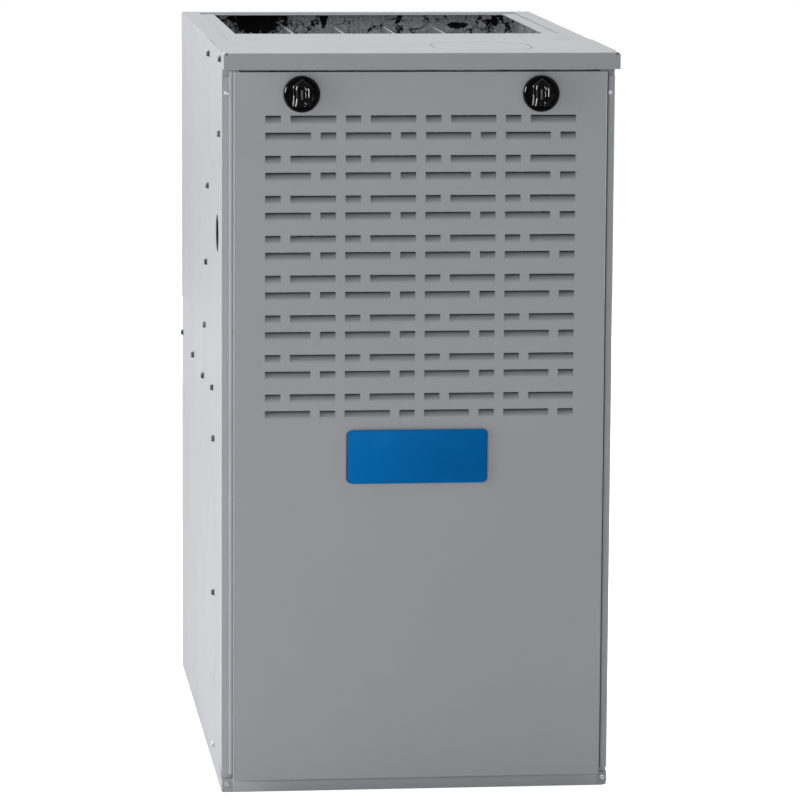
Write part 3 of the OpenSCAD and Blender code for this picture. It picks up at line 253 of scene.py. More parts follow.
# %% Zinc group
zinc_group, g_in, g_out = effect_group(
    "zinc_spangle",
    [("Color", "Color", (0.55, 0.56, 0.57, 1)), ("Crystal Color", "Color", (0.42, 0.43, 0.44, 1)),
     ("Crystals per Metre", "Float", 110.0), ("Roughness", "Float", 0.38)],
    [("Color", "Color"), ("Roughness", "Float"), ("Normal", "Vector")])
where = place_node(zinc_group, "TexCoord").outputs["Object"]
wander = place_node(zinc_group, "TexNoise", [("Vector", where)], Scale=60.0, Detail=2.0)
bent = place_node(zinc_group, "VectorMath", [(0, wander.outputs["Color"])], operation="SCALE", Scale=0.006)
moved = place_node(zinc_group, "VectorMath", [(0, where), (1, bent.outputs[0])], operation="ADD")
crystal = place_node(zinc_group, "TexVoronoi", [("Vector", moved.outputs[0]),
                                                ("Scale", g_in.outputs["Crystals per Metre"])])
pick = place_node(zinc_group, "SeparateColor", [("Color", crystal.outputs["Color"])])
tone = mix_colours(zinc_group, pick.outputs[0], g_in.outputs["Color"], g_in.outputs["Crystal Color"])
zinc_group.links.new(tone, g_out.inputs["Color"])
shift = place_node(zinc_group, "MapRange", [("Value", pick.outputs[1])], To_Min=-0.10, To_Max=0.12)
gloss = place_node(zinc_group, "Math", [(0, g_in.outputs["Roughness"]), (1, shift.outputs[0])],
                   operation="ADD")
zinc_group.links.new(gloss.outputs[0], g_out.inputs["Roughness"])
rolled = place_node(zinc_group, "TexNoise", [("Vector", where)], Scale=240.0, Detail=4.0)
skin = place_node(zinc_group, "Bump", [("Height", rolled.outputs["Fac"])], Distance=0.0001, Strength=0.25)
zinc_group.links.new(skin.outputs[0], g_out.inputs["Normal"])
print("zinc group:", len(zinc_group.nodes), "nodes")

# %% [markdown]
# ## Crumpled foil
# The blanket's foil face is creased in sharp facets, a few centimetres wide. The distance to the edge
# of bent Voronoi cells makes the facets, and a smaller noise wrinkles them.

# %% Foil group
foil_group, g_in, g_out = effect_group(
    "foil_crease",
    [("Color", "Color", (0.62, 0.63, 0.64, 1)), ("Fold Color", "Color", (0.16, 0.17, 0.18, 1)),
     ("Creases per Metre", "Float", 38.0), ("Depth", "Float", 0.8)],
    [("Color", "Color"), ("Roughness", "Float"), ("Normal", "Vector")])
where = place_node(foil_group, "TexCoord").outputs["Object"]
wander = place_node(foil_group, "TexNoise", [("Vector", where)], Scale=22.0, Detail=4.0)
bent = place_node(foil_group, "VectorMath", [(0, wander.outputs["Color"])], operation="SCALE", Scale=0.03)
moved = place_node(foil_group, "VectorMath", [(0, where), (1, bent.outputs[0])], operation="ADD")
facets = place_node(foil_group, "TexVoronoi", [("Vector", moved.outputs[0]),
                                               ("Scale", g_in.outputs["Creases per Metre"])],
                    feature="DISTANCE_TO_EDGE")
wrinkle = place_node(foil_group, "TexNoise", [("Vector", moved.outputs[0])],
                     Scale=150.0, Detail=5.0, Roughness=0.7)
height = place_node(foil_group, "Math", [(0, facets.outputs["Distance"]), (1, wrinkle.outputs["Fac"])],
                    operation="MULTIPLY")
folded = place_node(foil_group, "MapRange", [("Value", wander.outputs["Fac"])], From_Min=0.42, From_Max=0.60)
tone = mix_colours(foil_group, folded.outputs[0], g_in.outputs["Color"], g_in.outputs["Fold Color"])
foil_group.links.new(tone, g_out.inputs["Color"])
shine = place_node(foil_group, "MapRange", [("Value", wrinkle.outputs["Fac"])], To_Min=0.18, To_Max=0.48)
foil_group.links.new(shine.outputs[0], g_out.inputs["Roughness"])
creased = place_node(foil_group, "Bump", [("Height", height.outputs[0]),
                                          ("Strength", g_in.outputs["Depth"])], Distance=0.02)
foil_group.links.new(creased.outputs[0], g_out.inputs["Normal"])
print("foil group:", len(foil_group.nodes), "nodes")

# %% [markdown]
# ## Torn insulation
# The blanket round the outlet is crushed much finer than the door's. Its grey face is grainy, broken by
# jagged near black lines, painted shade for the deep tears, with a few bright flecks where bare foil
# shows. Warped Voronoi edges make the tears, and a noise hides some of them so that they stop and start.

# %% Torn blanket group
torn_group, g_in, g_out = effect_group(
    "torn_blanket",
    [("Color", "Color", (0.2, 0.2, 0.2, 1)), ("Tear Color", "Color", (0.004, 0.004, 0.004, 1)),
     ("Fleck Color", "Color", (0.8, 0.8, 0.8, 1)), ("Tears per Metre", "Float", 42.0),
     ("Depth", "Float", 0.9)],
    [("Color", "Color"), ("Roughness", "Float"), ("Normal", "Vector")])
where = place_node(torn_group, "TexCoord").outputs["Object"]
wander = place_node(torn_group, "TexNoise", [("Vector", where)], Scale=90.0, Detail=5.0, Roughness=0.65)
bent = place_node(torn_group, "VectorMath", [(0, wander.outputs["Color"])], operation="SCALE", Scale=0.030)
moved = place_node(torn_group, "VectorMath", [(0, where), (1, bent.outputs[0])], operation="ADD")
edges = place_node(torn_group, "TexVoronoi", [("Vector", moved.outputs[0]),
                                              ("Scale", g_in.outputs["Tears per Metre"])],
                   feature="DISTANCE_TO_EDGE")
hide = place_node(torn_group, "TexNoise", [("Vector", where)], Scale=34.0, Detail=2.0)
reach = place_node(torn_group, "MapRange", [("Value", hide.outputs["Fac"])],
                   From_Min=0.42, From_Max=0.66, To_Max=0.08)
tear = place_node(torn_group, "Math", [(0, edges.outputs["Distance"]), (1, reach.outputs[0])],
                  operation="LESS_THAN")
crush = place_node(torn_group, "TexNoise", [("Vector", moved.outputs[0])],
                   Scale=420.0, Detail=5.0, Roughness=0.75)
grain_tone = place_node(torn_group, "MapRange", [("Value", crush.outputs["Fac"])],
                        From_Min=0.38, From_Max=0.62, To_Min=0.22, To_Max=1.60)
grained = place_node(torn_group, "VectorMath", [(0, g_in.outputs["Color"]), (1, grain_tone.outputs[0])],
                     operation="MULTIPLY")
fleck_noise = place_node(torn_group, "TexNoise", [("Vector", where)], Scale=230.0, Detail=1.0)
fleck_mask = place_node(torn_group, "Math", [(0, fleck_noise.outputs["Fac"])], operation="GREATER_THAN")
fleck_mask.inputs[1].default_value = 0.69
flecked = mix_colours(torn_group, fleck_mask.outputs[0], grained.outputs[0], g_in.outputs["Fleck Color"])
# painted shade: the tear lines take a near black colour
torn = mix_colours(torn_group, tear.outputs[0], flecked, g_in.outputs["Tear Color"])
torn_group.links.new(torn, g_out.inputs["Color"])
shine = place_node(torn_group, "MapRange", [("Value", crush.outputs["Fac"])], To_Min=0.35, To_Max=0.75)
torn_group.links.new(shine.outputs[0], g_out.inputs["Roughness"])
lifted = place_node(torn_group, "Math", [(0, crush.outputs["Fac"]), (1, tear.outputs[0])],
                    operation="SUBTRACT")
ridged = place_node(torn_group, "Bump", [("Height", lifted.outputs[0]), ("Strength", g_in.outputs["Depth"])],
                    Distance=0.004)
torn_group.links.new(ridged.outputs[0], g_out.inputs["Normal"])
print("torn blanket group:", len(torn_group.nodes), "nodes")

# %% [markdown]
# ## Painted shade in the hollows
# Where the blanket is pushed in, the outlet looks black with shade, and this group paints that shade. A
# mask that is 1 inside a soft-edged ball, stretched to the hollow's size, darkens the colour there to
# near black.

# %% Hollow painted shade group
painted_hollow_group, g_in, g_out = effect_group(
    "painted_hollow_shade",
    [("Color", "Color", (0.2, 0.2, 0.2, 1)), ("Centre", "Vector", (0, 0, 0)),
     ("Size", "Vector", (0.03, 0.03, 0.03))],
    [("Color", "Color")])
where = place_node(painted_hollow_group, "TexCoord").outputs["Object"]
ragged = place_node(painted_hollow_group, "TexNoise", [("Vector", where)], Scale=160.0, Detail=3.0)
away = place_node(painted_hollow_group, "VectorMath", [(0, where), (1, g_in.outputs["Centre"])], operation="SUBTRACT")
scaled = place_node(painted_hollow_group, "VectorMath", [(0, away.outputs[0]), (1, g_in.outputs["Size"])],
                    operation="DIVIDE")
reach = place_node(painted_hollow_group, "VectorMath", [(0, scaled.outputs[0])], operation="LENGTH")
broken = place_node(painted_hollow_group, "Math", [(0, ragged.outputs["Fac"]), (2, reach.outputs["Value"])],
                    operation="MULTIPLY_ADD")
broken.inputs[1].default_value = 0.9
inside = place_node(painted_hollow_group, "MapRange", [("Value", broken.outputs[0])],
                    From_Min=1.32, From_Max=1.44, To_Min=1.0, To_Max=0.0)
dark = place_node(painted_hollow_group, "Mix", data_type="RGBA")
dark.inputs[7].default_value = (0.003, 0.003, 0.003, 1)
painted_hollow_group.links.new(inside.outputs[0], dark.inputs[0])
painted_hollow_group.links.new(g_in.outputs["Color"], dark.inputs[6])
painted_hollow_group.links.new(dark.outputs[2], g_out.inputs["Color"])
print("hollow group:", len(painted_hollow_group.nodes), "nodes")

# %% [markdown]
# ## Painted shade and light in gaps
# Gaps, slits and turned-back edges see little light, and some folded edges catch it, so this group paints
# shade and light into the colour. A soft-edged box in the object's own coordinates tells the paint where
# that is, and the colour inside the box is multiplied by a gain: below 1 it is painted shade, above 1
# painted light.

# %% Painted light and shade group
painted_light_and_shade_group, g_in, g_out = effect_group(
    "painted_gap_light_and_shade",
    [("Color", "Color", (0.4, 0.4, 0.4, 1)), ("Low Corner", "Vector", (-1, -1, -1)),
     ("High Corner", "Vector", (1, 1, 1)), ("Softness", "Vector", (0.001, 0.001, 0.001)),
     ("Gain", "Float", 0.5)],
    [("Color", "Color")])
where = place_node(painted_light_and_shade_group, "TexCoord").outputs["Object"]
past_corner = []
for first, second in ((where, g_in.outputs["Low Corner"]), (g_in.outputs["High Corner"], where)):
    gap = place_node(painted_light_and_shade_group, "VectorMath", [(0, first), (1, second)], operation="SUBTRACT")
    ramp = place_node(painted_light_and_shade_group, "VectorMath", [(0, gap.outputs[0]), (1, g_in.outputs["Softness"])],
                      operation="DIVIDE")
    above_0 = place_node(painted_light_and_shade_group, "VectorMath", [(0, ramp.outputs[0])], operation="MAXIMUM")
    above_0.inputs[1].default_value = (0, 0, 0)
    below_1 = place_node(painted_light_and_shade_group, "VectorMath", [(0, above_0.outputs[0])], operation="MINIMUM")
    below_1.inputs[1].default_value = (1, 1, 1)
    past_corner.append(below_1.outputs[0])
inner = place_node(painted_light_and_shade_group, "VectorMath", [(0, past_corner[0]), (1, past_corner[1])],
                   operation="MULTIPLY")
parts = place_node(painted_light_and_shade_group, "SeparateXYZ", [("Vector", inner.outputs[0])])
flat_mask = place_node(painted_light_and_shade_group, "Math", [(0, parts.outputs[0]), (1, parts.outputs[1])],
                       operation="MULTIPLY")
box_mask = place_node(painted_light_and_shade_group, "Math", [(0, flat_mask.outputs[0]), (1, parts.outputs[2])],
                      operation="MULTIPLY")
# a gain below 1 is painted shade, above 1 painted light
gain = place_node(painted_light_and_shade_group, "MapRange", [("Value", box_mask.outputs[0]), ("To Max", g_in.outputs["Gain"])],
                  To_Min=1.0)
shaded = place_node(painted_light_and_shade_group, "VectorMath", [(0, g_in.outputs["Color"]), (1, gain.outputs[0])],
                    operation="MULTIPLY")
painted_light_and_shade_group.links.new(shaded.outputs[0], g_out.inputs["Color"])
print("gap shade group:", len(painted_light_and_shade_group.nodes), "nodes")

# %% [markdown]
# ## Moulded and cast skin
# Plastic, ceramic, rubber and cast metal all carry a fine skin that breaks up their shine, and handled
# places are a little smoother. One group serves them with its own grain size.

# %% Skin group
skin_group, g_in, g_out = effect_group(
    "moulded_skin",
    [("Color", "Color", (0.1, 0.1, 0.1, 1)), ("Worn Color", "Color", (0.12, 0.12, 0.12, 1)),
     ("Grain per Metre", "Float", 900.0), ("Roughness", "Float", 0.5), ("Depth", "Float", 0.3)],
    [("Color", "Color"), ("Roughness", "Float"), ("Normal", "Vector")])
where = place_node(skin_group, "TexCoord").outputs["Object"]
fine = place_node(skin_group, "TexNoise", [("Vector", where), ("Scale", g_in.outputs["Grain per Metre"])],
                  Detail=3.0)
broad = place_node(skin_group, "TexNoise", [("Vector", where)], Scale=45.0, Detail=3.0)
worn = place_node(skin_group, "MapRange", [("Value", broad.outputs["Fac"])], From_Min=0.45, From_Max=0.75)
tone = mix_colours(skin_group, worn.outputs[0], g_in.outputs["Color"], g_in.outputs["Worn Color"])
skin_group.links.new(tone, g_out.inputs["Color"])
shift = place_node(skin_group, "MapRange", [("Value", fine.outputs["Fac"])], To_Min=-0.08, To_Max=0.08)
gloss = place_node(skin_group, "Math", [(0, g_in.outputs["Roughness"]), (1, shift.outputs[0])],
                   operation="ADD")
skin_group.links.new(gloss.outputs[0], g_out.inputs["Roughness"])
pebble = place_node(skin_group, "Bump", [("Height", fine.outputs["Fac"]),
                                         ("Strength", g_in.outputs["Depth"])], Distance=0.0002)
skin_group.links.new(pebble.outputs[0], g_out.inputs["Normal"])
print("skin group:", len(skin_group.nodes), "nodes")

# %% [markdown]
# ## Materials
# Each material is one Principled shader fed by one of the groups. Plain values such as metallic or
# coat weight are set on the shader itself, and the group brings colour, roughness and normal.

# %% Material maker
def finish(name, group, values, **shader):
    """A material with one group's colour, roughness and normal in its Principled shader."""
    material = bpy.data.materials.new(name)
    material.use_nodes = True
    tree = material.node_tree
    body = tree.nodes["Principled BSDF"]
    effect = tree.nodes.new("ShaderNodeGroup")
    effect.node_tree = group
    effect.location = (-300, 0)
    for label, value in values.items():
        effect.inputs[label].default_value = value
    tree.links.new(effect.outputs["Color"], body.inputs["Base Color"])
    tree.links.new(effect.outputs["Roughness"], body.inputs["Roughness"])
    tree.links.new(effect.outputs["Normal"], body.inputs["Normal"])
    for label, value in shader.items():
        body.inputs[label.replace("_", " ")].default_value = value
    return material


def grey(value, warm=0.0):
    """A grey with a little less red and a little more blue; warm takes some of that away."""
    return (value * (1 + warm - 0.038), value, value * (1 - warm + 0.055), 1.0)


def dress(names, material):
    """Gives CAD nodes a material on their object's slots; their meshes stay as they are."""
    for name in names.split():
        node = nodes[name]
        if not node.material_slots:
            node.data.materials.append(None)
        for place in node.material_slots:
            place.link = "OBJECT"
            place.material = material


def tint_where(material, group, values):
    """Slips a group that changes the colour in one place between a material's colour and its shader."""
    tree = material.node_tree
    body = tree.nodes["Principled BSDF"]
    source = body.inputs["Base Color"].links[0].from_socket
    added = tree.nodes.new("ShaderNodeGroup")
    added.node_tree = group
    for label, value in values.items():
        added.inputs[label].default_value = value
    tree.links.new(source, added.inputs["Color"])
    tree.links.new(added.outputs[0], body.inputs["Base Color"])


def paint_light_and_shade(material, low, high, soft, gain):
    """Multiplies a material's colour by gain inside a box whose edges fade over soft metres: painted shade
    below 1, painted light above.
    """
    tint_where(material, painted_light_and_shade_group, {"Low Corner": low, "High Corner": high,
                                       "Softness": (soft, soft, soft), "Gain": gain})


print("material helpers ready")

# %% Cabinet finishes
cabinet_paint = finish("cabinet_grey_film", paint_group,
                       {"Color": grey(0.400), "Cloud Color": grey(0.385), "Roughness": 0.46, "Texture": 0.22},
                       Metallic=0.0, Coat_Weight=0.12, Coat_Roughness=0.35)
door_paint = finish("door_grey_film", paint_group,
                    {"Color": grey(0.400), "Cloud Color": grey(0.388), "Roughness": 0.48, "Texture": 0.28},
                    Metallic=0.0, Coat_Weight=0.10, Coat_Roughness=0.38)
zinc_sheet = finish("zinc_sheet", zinc_group,
                    {"Color": grey(0.50), "Crystal Color": grey(0.40), "Crystals per Metre": 110.0,
                     "Roughness": 0.40}, Metallic=0.85)
zinc_small = finish("zinc_small_parts", zinc_group,
                    {"Color": grey(0.52), "Crystal Color": grey(0.44), "Crystals per Metre": 260.0,
                     "Roughness": 0.34}, Metallic=0.9)
aluminised = finish("aluminised_cell_steel", zinc_group,
                    {"Color": grey(0.36, 0.02), "Crystal Color": grey(0.30, 0.02),
                     "Crystals per Metre": 420.0, "Roughness": 0.50}, Metallic=0.7)
# the near black tear colour is painted shade
blanket = finish("torn_blanket_face", torn_group,
                 {"Color": grey(0.78), "Tear Color": (0.003, 0.003, 0.003, 1), "Fleck Color": grey(1.0),
                  "Tears per Metre": 46.0, "Depth": 0.9}, Metallic=0.6)
door_foil = finish("door_liner_foil", foil_group,
                   {"Color": grey(0.60), "Fold Color": grey(0.45), "Creases per Metre": 14.0, "Depth": 0.25},
                   Metallic=0.9)
screw_zinc = finish("screw_zinc", skin_group,
                    {"Color": grey(0.62), "Worn Color": grey(0.5), "Grain per Metre": 1800.0,
                     "Roughness": 0.28, "Depth": 0.15}, Metallic=0.95)
dress("casing_wrapper top_cap top_filler_panel outlet_frame bottom_rail", cabinet_paint)
dress("louvered_door", door_paint)
dress("upper_cross_rail base_pan bottom_closure blower_deck vestibule_panel blower_door_rails "
      "blower_door collector_box burner_box inducer_housing vent_collar blower_housing blower_cutoff "
      "blower_rails control_box motor_arms", zinc_sheet)
dress("blower_wheel inducer_wheel", zinc_small)
dress("cell_1 cell_2 cell_3 cell_4 inshot_burners", aluminised)
dress("outlet_liner", blanket)
dress("door_liner", door_foil)
dress("side_screws front_screws", screw_zinc)

outlet_back, outlet_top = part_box("outlet_liner")[1][1:]
# across the outlet, below its top, half the width and half the height
hollows = [(-0.1265, 0.000, 0.039, 0.027), (-0.0425, 0.000, 0.006, 0.019),
           (0.128, 0.014, 0.013, 0.0045), (0.1775, 0.010, 0.005, 0.006)]
wall_behind, hollow_depth = 0.01, 0.06
# each hollow darkens the blanket to near black: painted shade
for across, drop, wide, tall in hollows:
    tint_where(blanket, painted_hollow_group, {"Centre": (across, outlet_back - wall_behind, outlet_top - drop),
                                       "Size": (wide, hollow_depth, tall)})
print("painted, zinc and foil nodes dressed")

# %% [markdown]
# ## Painted shade and light round the door
# Each louver gets painted shade, darker in its depth and black in its slit. Beside the door, painted shade
# darkens the door's right edge, the gap next to it and the door's left front edge, while painted light
# brightens the door's left return, the flange strips on both sides and the left flange's inner edge. The
# entry's rim gets black painted shade, the lip a little painted shade and the bottom rail a little painted
# light. The planes come from the CAD boxes and the entry's place from the mount.

# %% Louver and door edge painted shade and light
door_low, door_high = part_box("louvered_door")
door_front, door_right = door_low[1], door_high[0]
far = 1.0
louver_reach, louver_low, louver_high, louver_back = 0.180, 0.40, 0.80, door_front + 0.02
# painted shade: darker in each louver's depth and near black in its slit
for depth, soft, gain in ((0.0001, 0.0009, 0.78), (0.0040, 0.0012, 0.10)):
    paint_light_and_shade(door_paint, (-louver_reach, door_front + depth, louver_low),
              (louver_reach, louver_back, louver_high), soft, gain)
edge_soft = 0.0004
# painted shade on the door's rounded right edge
paint_light_and_shade(door_paint, (door_right - 0.0012, door_front + 0.0002, 0), (far, door_front + 0.0030, far),
          edge_soft, 0.35)
# painted shade dulling the door's left front edge
paint_light_and_shade(door_paint, (-far, -far, 0), (-door_right + 0.0016, door_front + 0.0012, far), edge_soft, 0.52)
# painted light on the door's left return
paint_light_and_shade(door_paint, (-far, door_front + 0.0012, 0), (-door_right + 0.0004, far, far), edge_soft, 1.40)
print("door front at", round(door_front, 4), "edge at", round(door_right, 4))

# %% Gap, flange, entry, lip and rail painted shade and light
case_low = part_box("casing_wrapper")[0]
case_left, flange_front = case_low[0], case_low[1]
flange_low, flange_high, flange_skin = 0.02, 0.824, flange_front + 0.0012
gap_left, gap_right = door_right + 0.0036, door_right + 0.0052
strip_right, bright_line_left, bright_line_right = -0.205, -0.2142, -0.2105
# painted shadow in the gap beside the door's right edge
paint_light_and_shade(cabinet_paint, (gap_left, flange_front - 0.001, flange_low),
          (gap_right, flange_front + 0.004, flange_high), 0.0003, 0.15)
# painted light on the right flange strip
paint_light_and_shade(cabinet_paint, (gap_right, -far, flange_low), (far, flange_skin, flange_high), edge_soft, 1.12)
# painted light on the left flange strip
paint_light_and_shade(cabinet_paint, (case_left, -far, flange_low), (strip_right, flange_skin, flange_high),
          0.004, 1.26)
# painted highlight along the left flange's inner edge
paint_light_and_shade(cabinet_paint, (bright_line_left, -far, flange_low),
          (bright_line_right, flange_front + 0.012, flange_high), 0.0006, 1.75)
_, entry_y, entry_z = next(m for m in frame["record"]["mounts"] if m["name"] == "gas_inlet")["pos_m"]
entry_reach = 0.026
# black painted shade on the rim of the gas entry
paint_light_and_shade(cabinet_paint, (case_left + 0.00015, entry_y - entry_reach, entry_z - entry_reach),
          (case_left + 0.0007, entry_y + entry_reach, entry_z + entry_reach), 0.0001, 0.04)
lip_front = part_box("top_cap")[0][1]
# a little painted shade on the cap's lip
paint_light_and_shade(cabinet_paint, (-far, -far, 0.5), (far, lip_front + 0.004, far), 0.003, 0.90)
rail_front, rail_reach, rail_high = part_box("bottom_rail")[0][1], 0.2105, 0.1
# painted light on the bottom rail's front
paint_light_and_shade(cabinet_paint, (-rail_reach, rail_front - 0.001, 0), (rail_reach, rail_front + 0.002, rail_high),
          0.0006, 1.28)
print("case left", round(case_left, 4), "flange", round(flange_front, 4), "lip", round(lip_front, 4),
      "rail", round(rail_front, 4), "entry", entry_y, entry_z)

# %% Small part finishes
latch_black = finish("latch_black_gloss", skin_group,
                     {"Color": (0.006, 0.006, 0.007, 1), "Worn Color": (0.012, 0.012, 0.013, 1),
                      "Grain per Metre": 260.0, "Roughness": 0.12, "Depth": 0.6},
                     Specular_IOR_Level=0.09)
dark_plastic = finish("dark_moulded", skin_group,
                      {"Color": (0.02, 0.02, 0.022, 1), "Worn Color": (0.04, 0.04, 0.042, 1),
                       "Grain per Metre": 1100.0, "Roughness": 0.48, "Depth": 0.35})
white_part = finish("white_ceramic", skin_group,
                    {"Color": (0.72, 0.71, 0.68, 1), "Worn Color": (0.62, 0.60, 0.56, 1),
                     "Grain per Metre": 900.0, "Roughness": 0.5, "Depth": 0.25})
red_part = finish("red_button", skin_group,
                  {"Color": (0.42, 0.015, 0.012, 1), "Worn Color": (0.30, 0.012, 0.010, 1),
                   "Grain per Metre": 900.0, "Roughness": 0.36, "Depth": 0.15})
green_board = finish("board_lacquer", skin_group,
                     {"Color": (0.015, 0.10, 0.035, 1), "Worn Color": (0.02, 0.14, 0.05, 1),
                      "Grain per Metre": 260.0, "Roughness": 0.30, "Depth": 0.20},
                     Coat_Weight=0.5)
hose_rubber = finish("hose_rubber", skin_group,
                     {"Color": (0.012, 0.012, 0.012, 1), "Worn Color": (0.03, 0.03, 0.03, 1),
                      "Grain per Metre": 700.0, "Roughness": 0.62, "Depth": 0.3})
cast_alloy = finish("cast_alloy", skin_group,
                    {"Color": grey(0.50), "Worn Color": grey(0.40), "Grain per Metre": 420.0,
                     "Roughness": 0.46, "Depth": 0.8}, Metallic=0.85)
black_steel = finish("black_steel", skin_group,
                     {"Color": (0.018, 0.018, 0.02, 1), "Worn Color": (0.035, 0.035, 0.037, 1),
                      "Grain per Metre": 600.0, "Roughness": 0.42, "Depth": 0.4})
brass = finish("turned_brass", skin_group,
               {"Color": (0.62, 0.42, 0.15, 1), "Worn Color": (0.50, 0.32, 0.11, 1),
                "Grain per Metre": 1500.0, "Roughness": 0.26, "Depth": 0.2}, Metallic=1.0)
ground_steel = finish("ground_steel", skin_group,
                      {"Color": grey(0.50), "Worn Color": grey(0.42), "Grain per Metre": 1600.0,
                       "Roughness": 0.25, "Depth": 0.15}, Metallic=1.0)
dress("latch_left latch_right", latch_black)
dress("gas_valve_lever rollout_switches limit_switch pressure_switch transformer door_switch", dark_plastic)
dress("igniter flame_sensor door_switch_plunger", white_part)
dress("reset_button_left reset_button_right", red_part)
dress("control_board", green_board)
dress("pressure_hose", hose_rubber)
dress("gas_valve capacitor", cast_alloy)
dress("gas_manifold inducer_motor blower_motor", black_steel)
dress("gas_orifices", brass)
dress("blower_shaft", ground_steel)
print("undressed nodes:", [n for n, o in nodes.items() if not o.material_slots or
                           o.material_slots[0].material is None])

# %% [markdown]
# ## Bare plate
# The door carries a small blue plate with round corners on a dark backing, a painted shadow at its left edge.
# It stays bare. It starts as a cube that is scaled in edit mode, has its upright edges bevelled round
# and a fine bevel round its front, so it catches light as a real plate does.

# %% Plate on the door
def finish_mesh(piece, name, material, body):
    """Applies a piece's place to its mesh, names it and lets it ride on a body."""
    deselect_all()
    piece.select_set(True)
    bpy.context.view_layer.objects.active = piece
    bpy.ops.object.transform_apply(location=True, rotation=True, scale=True)
    piece.name = name
    piece.data.name = name
    piece.data.materials.clear()
    piece.data.materials.append(material)
    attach(piece, body)
    return piece


def join_pieces(pieces):
    """Joins mesh pieces into the first one."""
    deselect_all()
    for piece in pieces:
        piece.select_set(True)
    bpy.context.view_layer.objects.active = pieces[0]
    bpy.ops.object.join()
    return bpy.context.object


def ease_edges(piece, width):
    """Takes the sharpness off a piece's hard edges with a narrow two-step bevel."""
    ease = piece.modifiers.new("ease", "BEVEL")
    ease.width, ease.segments, ease.limit_method = width, 2, "ANGLE"
    bpy.ops.object.modifier_apply(modifier=ease.name)


def rounded_plate(name, low, high, corner, edge, material, body):
    """A flat plate standing on the door, its corners round in front view and its front edge eased."""
    deselect_all()
    middle = (Vector(low) + Vector(high)) / 2
    bpy.ops.mesh.primitive_cube_add(size=1, location=middle)
    piece = bpy.context.object
    bpy.ops.object.mode_set(mode="EDIT")
    bpy.ops.transform.resize(value=Vector(high) - Vector(low))
    bpy.ops.mesh.select_all(action="DESELECT")
    shape = bmesh.from_edit_mesh(piece.data)
    for edge_line in shape.edges:
        a, b = edge_line.verts
        edge_line.select_set(abs(a.co.y - b.co.y) > 1e-5)
    bmesh.update_edit_mesh(piece.data)
    bpy.ops.mesh.bevel(offset=corner, segments=8, affect="EDGES", clamp_overlap=False)
    bpy.ops.mesh.select_all(action="DESELECT")
    shape = bmesh.from_edit_mesh(piece.data)
    front = min(v.co.y for v in shape.verts)
    for face in shape.faces:
        face.select_set(all(abs(v.co.y - front) < 1e-6 for v in face.verts))
    bmesh.update_edit_mesh(piece.data)
    bpy.ops.mesh.inset(thickness=edge, depth=0)
    bpy.ops.transform.translate(value=(0, -edge * 0.6, 0))
    bpy.ops.object.mode_set(mode="OBJECT")
    bpy.ops.object.shade_smooth_by_angle(angle=math.radians(35))
    return finish_mesh(piece, name, material, body)


plate_blue = finish("plate_blue_lacquer", skin_group,
                    {"Color": (0.0, 0.152, 0.47, 1), "Worn Color": (0.0, 0.165, 0.50, 1),
                     "Grain per Metre": 320.0, "Roughness": 0.40, "Depth": 0.10}, Specular_IOR_Level=0.04)
# the dark backing is a painted shadow along the plate's left edge
plate_shadow_backing = finish("plate_painted_shadow", skin_group,
                       {"Color": (0.012, 0.03, 0.08, 1), "Worn Color": (0.02, 0.04, 0.09, 1),
                        "Grain per Metre": 700.0, "Roughness": 0.5, "Depth": 0.2})
plate_corner, off_the_door = 0.0057, 0.00005
backing_front, plate_front = door_front - 0.0016, door_front - 0.0026
backing = rounded_plate("plate_shadow_backing", (-0.0830, backing_front, 0.3597),
                        (0.0765, door_front - off_the_door, 0.4200), plate_corner, 0.0004,
                        plate_shadow_backing, "door")
plate = rounded_plate("bare_plate", (-0.0807, plate_front, 0.3593), (0.0777, backing_front, 0.4206),
                      plate_corner, 0.0005, plate_blue, "door")
print("plate:", len(plate.data.polygons), "faces")

# %% [markdown]
# ## Sheet metal screws
# The cabinet is held by hexagon-head screws with a washer formed under the head and a dished top. One
# screw is modelled at the origin, pointing out along Z, and a copy goes to each place where the CAD
# model has a screw. The thread is a stack of ridges, made by extruding and resizing one ring.

# %% One screw
washer_radius, washer_height = 0.0040, 0.0008
hexagon_radius, hexagon_height = 0.0036, 0.0026
dish_rim, dish_depth = 0.0006, 0.0005
hexagon_middle = washer_height + hexagon_height / 2
shank_radius, shank_start = 0.0014, 0.0004
ridge_count, ridge_swell, ridge_step = 7, 1.28, 0.00045
tip_step, tip_share = 0.0006, 0.3


